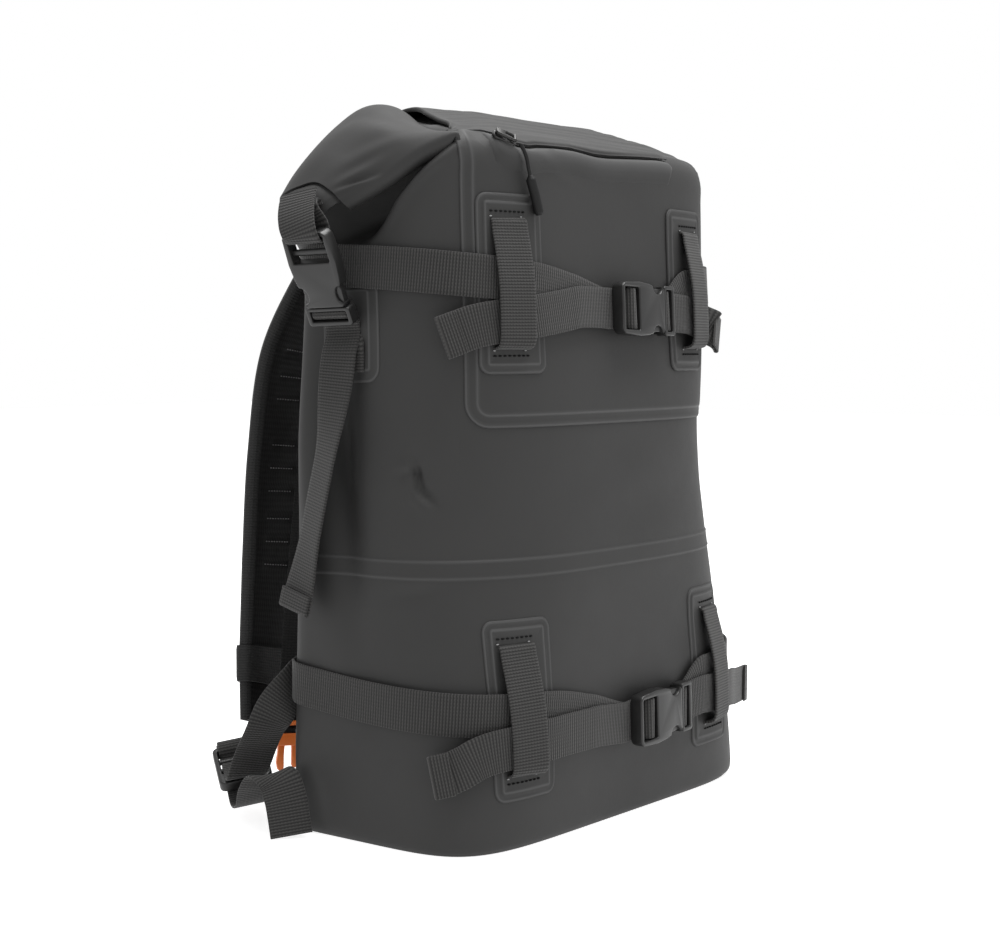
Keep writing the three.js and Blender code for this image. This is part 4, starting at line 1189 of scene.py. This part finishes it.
def roll_part():
    line = spline([(x, ROLL["y"], z) for x, z in ROLL_LINE], 2.4)
    _, across, out = ribbon_frames(line, (0, 1, 0))
    out = np.where(out[:, 2:] < 0, -out, out)
    level = np.linspace(-0.5, 0.5, 19)
    lips = 1 - np.abs(np.sin(3 * math.pi * (level + 0.5)))
    lip = np.clip(((level + 0.5) * 3).astype(int), 0, 2)
    rings = []
    for i in range(len(line)):
        wander = np.array([waves(line[i, 0], k * 40.0, 60, 11) for k in range(3)])
        edge = ROLL["width"] / 2 - 1.2 * lips - 1.3 * (1 + wander[lip]) - 3.0 * (np.abs(level) * 2) ** 5
        ys = np.concatenate([
            -edge,
            np.linspace(-edge[-1], edge[-1], 12)[1:-1],
            edge[::-1],
            np.linspace(edge[0], -edge[0], 12)[1:-1],
        ])
        zs = np.concatenate([level, np.full(10, 0.5), level[::-1], np.full(10, -0.5)]) * ROLL["height"]
        rings.append(line[i] + across[i] * ys[:, None] + out[i] * zs[:, None])
    grid = np.array(rings)
    flat = flat_grid(np.arange(grid.shape[1]) * 2.0, lengths(line))[..., ::-1]
    return wrapped(grid, flat, closed=True, cap=True)


# The cloth that goes up from the zip and over the roll: the lines of its left and right edges,
# its profile between them, its crest, and its front edge on the skin
COVER = {
    "left": [(-127.5, -46.5, 412.8), (-70, 36, 437.2)],
    "right": [(121, -45, 413), (118, 36, 437)],
    "profile": [(-27, 421.8), (-6, 428.6), (14, 434.2), (34, 437.5), (47, 436.6), (53, 433.2)],
    "front_s": [-130, -114, -106, -99, -90, -79, -70, -37, -14, 1, 41, 66, 84, 124],
    "front_z": [411.5, 412.6, 412, 409, 406, 405.2, 406.3, 407, 405.5, 405.6, 407.4, 408, 410.5, 412],
    "front_lift": [-0.6, 1.6, 2.8, 3.4, 3.6, 3.6, 3.6, 3.6, 3.6, 3.6, 3.6, 3.4, 0.8, -0.6],
    "crest": {"y": 36, "z": 437.5},
    "rim": 1.6,
}


def cover_part():
    t = np.linspace(0, 1, 150)
    s = COVER["front_s"][0] * (1 - t) + COVER["front_s"][-1] * t
    z = np.interp(s, COVER["front_s"], COVER["front_z"])
    lift = np.interp(s, COVER["front_s"], COVER["front_lift"])
    rows = [on_skin(s, z, lift), on_skin(s, z + 3.6, lift * 0.6 + 1.2)]
    middle = smooth(0, 0.2, t) * (1 - smooth(0.85, 1, t))
    edges = [np.array(COVER[key], float) for key in ("left", "right")]
    for y, high in COVER["profile"]:
        ends = []
        for low_end, top_end in edges:
            share = np.clip((y - low_end[1]) / (top_end[1] - low_end[1]), 0, 1)
            ends.append(low_end * (1 - share) + top_end * share)
        drop = min(high - COVER["crest"]["z"], 0) if y > COVER["crest"]["y"] else 0
        x = ends[0][0] * (1 - t) + ends[1][0] * t
        edge_z = np.where(t < 0.5, ends[0][2], ends[1][2]) + drop
        rows.append(np.stack([x, np.full_like(x, y), edge_z * (1 - middle) + high * middle], -1))
    inner = (smooth(0.06, 0.16, t) * (1 - smooth(0.84, 0.94, t)))[:, None]
    rows[1] = rows[1] * inner + (rows[0] * 0.65 + rows[2] * 0.35) * (1 - inner)
    grid = between(np.array(rows), np.linspace(0, len(rows) - 1, 96))
    x, y = grid[..., 0], grid[..., 1]
    free = smooth(0, 0.25, np.linspace(0, 1, 96))[:, None]
    free = free * smooth(0, 0.06, t)[None, :] * smooth(0, 0.06, 1 - t)[None, :]
    ripple = 0.28 * np.sin((y + 2.4 * waves(x, y * 2, 80, 31)) * math.tau / 8.5)
    ripple = ripple + 0.4 * waves(x * 0.6, y * 2.2, 26, 33)
    grid[..., 2] += ripple * free
    rims = []
    for side, outwards, radius in ((0, -1, COVER["rim"]), (-1, 1, 4 * COVER["rim"])):
        turns = np.radians((30, 60, 90, 115, 140))
        curls = [(outwards * radius * math.sin(a), 0, -radius * (1 - math.cos(a))) for a in turns]
        rims.append(np.stack([grid[:, side] + curl for curl in curls], 1))
    return slab(np.concatenate([rims[0][:, ::-1], grid, rims[1]], 1), 1.3)


def rolled_mouth():
    parts = [roll_part(), cover_part(), *ear_parts(EARS["left"]), *mirrored(ear_parts(EARS["right"]))]
    mouth = piece("mouth_cloth", parts, CLOTH, ("rolled_mouth",), 60)


# Cord of the zip's slider, with the moulded grip on its lower half: places on the skin and lift
PULL = [
    (-91, 403.5, 8.4), (-88.5, 398, 8.4), (-86, 391.5, 7.4), (-84, 386, 7.0), (-81, 377, 7.0),
    (-78, 366, 7.0),
]
PULL_WIDTH = 2.3
GRIP_START = 0.44


def zip_cord():
    line = spline(over_even_skin(PULL), 0.8)
    t = np.linspace(0, 1, len(line))
    form = tube(line, np.full(len(line), PULL_WIDTH / 2))
    cord = piece("zip_cord", [form], RUBBER, ("zip_pull",), None)
    grip_line = line[t > GRIP_START]
    u = np.linspace(0, 1, len(grip_line))
    radius = 1.3 + 1.7 * smooth(0.0, 0.12, u) - 1.0 * smooth(0.93, 1.0, u)
    grip = piece("zip_grip", [tube(grip_line, radius)], RUBBER, (), None)


# Zip of the pocket: the slit from its slider to its round end, as places on the skin
ZIP_SLIT = [
    (-108, 413), (-99, 408), (-90, 405), (-79, 404.4), (-70, 405.6), (-37, 406.3), (-14, 404.8),
    (1, 404.9), (20, 405.8), (41, 406.7), (60, 407.3), (69, 406.6), (74.5, 404.6), (76, 401.5),
]
# Strength of the painted highlight on the lower lip, which faces upwards, the height of the pocket's cloth,
# and the section of both lips over it: distance above the slit and lift
LOWER_LIP_HIGHLIGHT = 0.8
ZIP_GROUND = 1.7
ZIP_LIPS = [
    (4.0, -0.6), (2.8, 0.2), (1.6, 1.0), (0.4, 0.9), (0.3, -0.4), (-0.3, -0.4), (-0.5, 0.6), (-1.2, 2.1),
    (-3.0, 3.2), (-5.5, 3.1), (-8.5, 2.1), (-12.0, 0.7), (-15.0, -0.3), (-15.5, -0.8),
]
# Place, lift and turn of the zip's slider
ZIP_RUNNER = (-98, 406.6, 6.4, -0.46)


def zip_parts():
    path = spline([(s, z, 0) for s, z in ZIP_SLIT], 1.5)[:, :2]
    forward = unit(np.gradient(path, axis=0))
    normal = np.stack([-forward[:, 1], forward[:, 0]], -1)
    away, lifts = np.array(ZIP_LIPS).T
    ends = np.minimum(smooth(-2, 10, lengths(path)), smooth(-2, 10, lengths(path)[-1] - lengths(path)))
    places = path[:, None] + normal[:, None] * (away[None, :, None] * ends[:, None, None])
    heights = ZIP_GROUND + lifts[None, :] * (0.3 + 0.7 * ends[:, None]) - 1.5 * (1 - ends[:, None])
    grid = on_skin(places[..., 0], places[..., 1], heights)
    part = wrapped(grid, places, closed=True, cap=True)
    lips = piece("zip_lips", [part], CLOTH, ("zip_strip",), 40)
    s, z = flat_places(lips).T
    below = np.interp(s, path[:, 0], path[:, 1]) - z
    # Painted highlight on the lower lip, which faces upwards
    paint_weld_highlights(lips, LOWER_LIP_HIGHLIGHT * smooth(0.4, 1.6, below) * (1 - smooth(4, 11, below)))
    place = frame_on_skin(*ZIP_RUNNER)
    base = [outline_points(-8, 7.5, -3.4, 3.4, 2.4), outline_points(1.2, 4.6, -1.4, 1.4, 1.0)]
    lid = [outline_points(-7.5, 6.6, -2.8, 2.8, 2.0), outline_points(-1.5, 4.4, -1.2, 1.2, 1.0)]
    body, cover = moulded(base, -2.5, -0.4, 0.5), moulded(lid, 0.6, 2.3, 0.6)
    post = bar(-4.5, -1.8, 1.8, 0.2, 1.6, 1.4)
    bail = bar(5.2, -2.2, 2.2, 1.6, 1.2, 1.2)
    placed = in_place(place, [body, cover, post, bail])
    piece("zip_runner", placed, METAL, ("zip_slider",), HARD_EDGE)


# Middle line of a shoulder pad from its top, with its width and thickness
PAD_ROWS = np.array([
    (-57, 83.6, 397, 58, 10),
    (-60, 93, 374, 60, 11.5),
    (-71, 113, 336, 62, 12),
    (-83, 133, 287, 62, 12),
    (-90, 140, 220, 60, 12),
    (-97, 140, 150, 56, 12),
    (-107, 136, 90, 48, 11),
    (-117, 130, 50, 36, 9),
], float)
# The direction of a pad's width, and the powers that square its section
PAD_LEAN = (1, 0.25, 0)
PAD_ROUND = (0.55, 0.7)
# Heights at which the pads are sewn through, how far from their middle line, and the share of their depth
TACK_HEIGHTS = (149, 165, 180, 196, 211.5, 227, 257, 272, 287)
TACK_REACH = 13.0
TACK_DEPTH = 0.24
# Steps of the simulation that fills a pad
FILL_FRAMES = 20


def pad_line():
    """The middle line of a pad with its width, thickness, and directions across and out of it."""
    line = spline(PAD_ROWS[:, :3], 3.0)
    rows = lengths(PAD_ROWS[:, :3])
    t = share_along(line) * rows[-1]
    width = np.interp(t, rows, PAD_ROWS[:, 3])
    thick = np.interp(t, rows, PAD_ROWS[:, 4])
    _, across, out = ribbon_frames(line, PAD_LEAN)
    return line, width, thick, across, out


def pad_part():
    """A pad before it is filled, and which of its points are sewn down."""
    line, width, thick, across, out = pad_line()
    angle = np.linspace(0, math.tau, 56, endpoint=False)
    x, y = signed_power(np.cos(angle), PAD_ROUND[0]), signed_power(np.sin(angle), PAD_ROUND[1])
    tacked = np.clip(sum(bell(line[:, 2], z, 3.0) for z in TACK_HEIGHTS), 0, 1)
    aside = x[None, :] * width[:, None] / 2
    sewn = tacked[:, None] * (1 - smooth(TACK_REACH, TACK_REACH + 6, np.abs(aside)))
    level = y[None, :] * (thick / 2)[:, None] * (1 - TACK_DEPTH * sewn)
    grid = line[:, None] + across[:, None] * (x[None, :, None] * (width / 2)[:, None, None])
    grid = grid + out[:, None] * level[..., None]
    held = (sewn > 0.6) | (np.abs(y) < 0.72)[None, :]
    held[:3] = True
    held[-3:] = True
    return wrapped(grid, flat_grid(aside, lengths(line)), closed=True, cap=True), held.ravel()


def filled(part, held, most=6.0):
    """A closed part after its cloth has been blown up; held points stay, and none moves more than most."""
    points, faces, flat = part
    mesh = mesh_of("filled_form", [part])
    form = bpy.data.objects.new("filled_form", mesh)
    bpy.context.scene.collection.objects.link(form)
    group = form.vertex_groups.new(name="held")
    group.add(np.flatnonzero(held).tolist(), 1.0, "REPLACE")
    cloth = form.modifiers.new("cloth", "CLOTH")
    cloth.settings.quality = 5
    cloth.settings.mass = 0.3
    cloth.settings.bending_stiffness = 0.5
    cloth.settings.use_pressure = True
    cloth.settings.uniform_pressure_force = 4
    cloth.settings.effector_weights.gravity = 0
    cloth.settings.vertex_group_mass = "held"
    cloth.point_cache.frame_start = 1
    cloth.point_cache.frame_end = FILL_FRAMES
    for step in range(1, FILL_FRAMES + 1):
        bpy.context.scene.frame_set(step)
    made = form.evaluated_get(bpy.context.evaluated_depsgraph_get())
    now = np.empty(len(made.data.vertices) * 3)
    made.data.vertices.foreach_get("co", now)
    bpy.context.scene.frame_set(1)
    moved = now.reshape(-1, 3) * 1000 - points
    far = np.linalg.norm(moved, axis=1, keepdims=True)
    bpy.data.objects.remove(form)
    bpy.data.meshes.remove(mesh)
    return points + moved * np.minimum(1, most / np.maximum(far, 1e-6)), faces, flat


def pad_binding():
    """The tape that folds round each long edge of a pad."""
    line, width, thick, across, out = pad_line()
    parts = []
    for side in (-1, 1):
        arc = np.radians(np.linspace(-38, 38, 15))
        x, y = side * signed_power(np.cos(arc), PAD_ROUND[0]), signed_power(np.sin(arc), PAD_ROUND[1])
        rims = []
        for more in (1.0, -0.6):
            place = line[:, None] + across[:, None] * (x[None, :] * (width / 2 + more)[:, None])[..., None]
            rims.append(place + out[:, None] * (y[None, :] * (thick / 2 + more)[:, None])[..., None])
        grid = np.concatenate([rims[0], rims[1][:, ::-1]], 1)
        around = np.concatenate([arc, arc[::-1]]) * 9
        parts.append(wrapped(grid, flat_grid(around, lengths(line)), closed=True, cap=True))
    return parts


def pad_tacks():
    line, _, thick, across, out = pad_line()
    rows = []
    for z in TACK_HEIGHTS:
        i = int(np.argmin(np.abs(line[:, 2] - z)))
        aside = np.linspace(-TACK_REACH, TACK_REACH, 12)[:, None]
        rows.append(line[i] + across[i] * aside + out[i] * (thick[i] / 2 * (1 - TACK_DEPTH) + 0.3))
    return rows


# Band round a pad: its reach as shares of the pad's length, and the powers of its section
KEEPER = {"reach": (0.865, 0.93), "round": (0.5, 0.6)}


def keeper_part():
    line, width, thick, across, out = pad_line()
    first, last = [int(len(line) * share) for share in KEEPER["reach"]]
    angle = np.linspace(0, math.tau, 48, endpoint=False)
    x, y = signed_power(np.cos(angle), KEEPER["round"][0]), signed_power(np.sin(angle), KEEPER["round"][1])
    rings, flat = [], []
    for more, i in ((0.4, first), (2.2, first), (2.5, first + 1), (2.5, last - 1), (2.2, last), (0.4, last)):
        wide, high = width[i] / 2 + more, thick[i] / 2 + more
        rings.append(line[i] + across[i] * (x * wide)[:, None] + out[i] * (y * high)[:, None])
        flat.append(np.stack([x * width[i] / 2, np.full(48, lengths(line)[i])], -1))
    rings.append(rings[0])
    flat.append(flat[0])
    return wrapped(np.array(rings), np.array(flat), closed=True)


# Webbing in the ladder lock's own frame: the tab that holds it, and the way of the lower webbing through it
LOCK_TAB = [(-34, -9), (-26, -7), (-19, -5.2), (-13, -4.2), (-11.4, 0), (-13, 4.6), (-20, 5), (-24, 0)]
LOCK_TURN = [
    (20, 8), (12, 4.4), (5, 3.4), (-1.2, 2.8), (-2.9, 0.5), (-3.1, -2.4), (-1.5, -5), (3.2, -5.9),
    (12, -6), (26, -7),
]
# Lower webbing of a shoulder strap: its end on the bag's side, its way to the lock, and its free tail
WEB_SEAT = [(-298, 93, 1.5), (-279, 89, 3)]
WEB_WAY = [(-160, 75, 68), (-158.5, 90, 46)]
WEB_TAIL = [
    (-163, 87, 14), (-171, 76, 26), (-173, 66, 35), (-173.5, 57, 34), (-174, 51, 24),
    (-174, 48, 12), (-174, 46, 2),
]


def lock_parts():
    body = outline_points(-18, 18, -16.5, 16.5, 4)
    hole = outline_points(-14, 8.5, -13.3, 13.3, 1.0)
    plate = moulded([body, hole], -3.5, 3.5, 1.1)
    return [plate, bar(-7.3, -13.6, 13.6, -0.6, 1.8, 1.7), bar(1.5, -13.6, 13.6, -0.6, 2.0, 1.7)]


def shoulder_straps():
    part, held = pad_part()
    part = filled(part, held)
    for obj in both_sides("shoulder_padding", [part], MESH, ["shoulder_pad"], None):
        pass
    both_sides("padding_binding", pad_binding(), TRIM, [])
    tacks = pad_tacks()
    tacks = tacks + [row * (-1, 1, 1) for row in tacks]
    stitched("padding_tacks", tacks, spacing=2.9, length=1.9, thick=0.8, thread=PALE_THREAD)
    both_sides("padding_keeper", [keeper_part()], TRIM, ["pad_keeper"])
    placed = in_place(LOCK, lock_parts())
    both_sides("strap_lock", placed, PLASTIC, ["ladder_lock"], HARD_EDGE)
    across = LOCK[1][1]
    line = spline(put(LOCK, [(x, 0, z) for x, z in LOCK_TAB]), 1.2)
    both_sides("strap_tab", [ribbon(line, across)], WEBBING, ["lock_tab"])
    points = np.concatenate([
        plain_track(WEB_SEAT),
        WEB_WAY,
        put(LOCK, [(x, 0, z) for x, z in LOCK_TURN]),
        WEB_TAIL,
    ])
    line = spline(points, 1.6)
    turn = smooth(0.09, 0.24, share_along(line))[:, None]
    near = np.array((0, 0, 1.0)) * (1 - turn) - across * turn
    made = both_sides("strap_webbing", [ribbon(line, near)], WEBBING, ["shoulder_web"])


# Chest strap, which hangs down from its pad
CHEST_HANG = [(-67, 127.5, 240), (-75, 124, 200), (-87, 120, 140), (-96, 117, 90)]


def chest_strap():
    plug = in_place(CHEST, chest_plug(), CHEST_SCALE)
    piece("chest_clip_plug", plug, ORANGE, ("chest_plug_left",), HARD_EDGE)
    socket = mirrored(in_place(CHEST, turned_end(buckle_socket()), CHEST_SCALE))
    piece("chest_clip_socket", socket, PLASTIC, ("chest_socket_right",), HARD_EDGE)
    for side, half in (("left", "plug"), ("right", "socket")):
        line = spline(np.concatenate([CHEST_HANG, wrap_round(CHEST, half, 1, CHEST_SCALE)[:-1]]), 1.6)
        parts = [ribbon(line, CHEST[1][1], CHEST_WIDTH)]
        own = parts if side == "left" else mirrored(parts)
        obj = piece(f"chest_webbing_{side}", own, TRIM, (f"chest_strap_{side}",))


# Camera, lights and floor: metres, degrees, watts, and millimetres of lens and sensor;
# a light has its place, its target, its size and its power
CAMERA = {
    "place": (-0.9591, -0.7254, 0.2925),
    "look_down": 3.79,
    "turn": -51.92,
    "lens": 67.74,
    "sensor": 36,
}
LIGHTS = [
    ("overhead_panel", (0.1, -0.25, 1.9), (0, 0, 0.3), 1.4, 60),
    ("front_panel", (0.9, -1.8, 0.8), (0, 0, 0.25), 1.2, 1.0),
]
FLOOR_REACH = 6.0


def studio():
    lens = bpy.data.cameras.new("photo_lens")
    lens.sensor_width = CAMERA["sensor"]
    lens.lens = CAMERA["lens"]
    lens.clip_start = 0.05
    camera = bpy.data.objects.new("photo_camera", lens)
    camera.location = CAMERA["place"]
    camera.rotation_euler = (math.radians(90 - CAMERA["look_down"]), 0, math.radians(CAMERA["turn"]))
    bpy.context.scene.collection.objects.link(camera)
    bpy.context.scene.camera = camera

    world = bpy.data.worlds.new("pale_room")
    world.use_nodes = True
    world.node_tree.nodes["Background"].inputs["Color"].default_value = (1, 1, 1, 1)
    world.node_tree.nodes["Background"].inputs["Strength"].default_value = 1.0
    bpy.context.scene.world = world
    bpy.context.scene.view_settings.view_transform = "Standard"

    for name, place, target, size, power in LIGHTS:
        light = bpy.data.lights.new(name, "AREA")
        light.size = size
        light.energy = power
        lamp = bpy.data.objects.new(name, light)
        away = unit(np.array(place) - np.array(target))
        lamp.location = place
        lamp.rotation_euler = (math.acos(away[2]), 0, math.atan2(away[0], -away[1]))
        bpy.context.scene.collection.objects.link(lamp)

    floor = Finish("pale_floor", Roughness=0.9, Emission_Color=(1, 1, 1, 1), Emission_Strength=0.8)
    speck = floor.noise(floor.object_place(), 30.0, 2.0)
    floor.feed("Base Color", floor.two_tone(speck, (0.5, 0.5, 0.5), (0.55, 0.55, 0.55)))
    mesh = bpy.data.meshes.new("floor")
    corners = [(-FLOOR_REACH, -FLOOR_REACH, 0), (FLOOR_REACH, -FLOOR_REACH, 0)]
    corners += [(FLOOR_REACH, FLOOR_REACH, 0), (-FLOOR_REACH, FLOOR_REACH, 0)]
    mesh.from_pydata(corners, [], [(0, 1, 2, 3)])
    mesh.materials.append(floor.material)
    ground = bpy.data.objects.new("floor", mesh)
    ground.location = (0, 0, -0.0002)
    bpy.context.scene.collection.objects.link(ground)


studio()
zip_cord()
body()
pocket()
loops()
compression_straps()
side_closure()
rolled_mouth()
zip_parts()
shoulder_straps()
chest_strap()
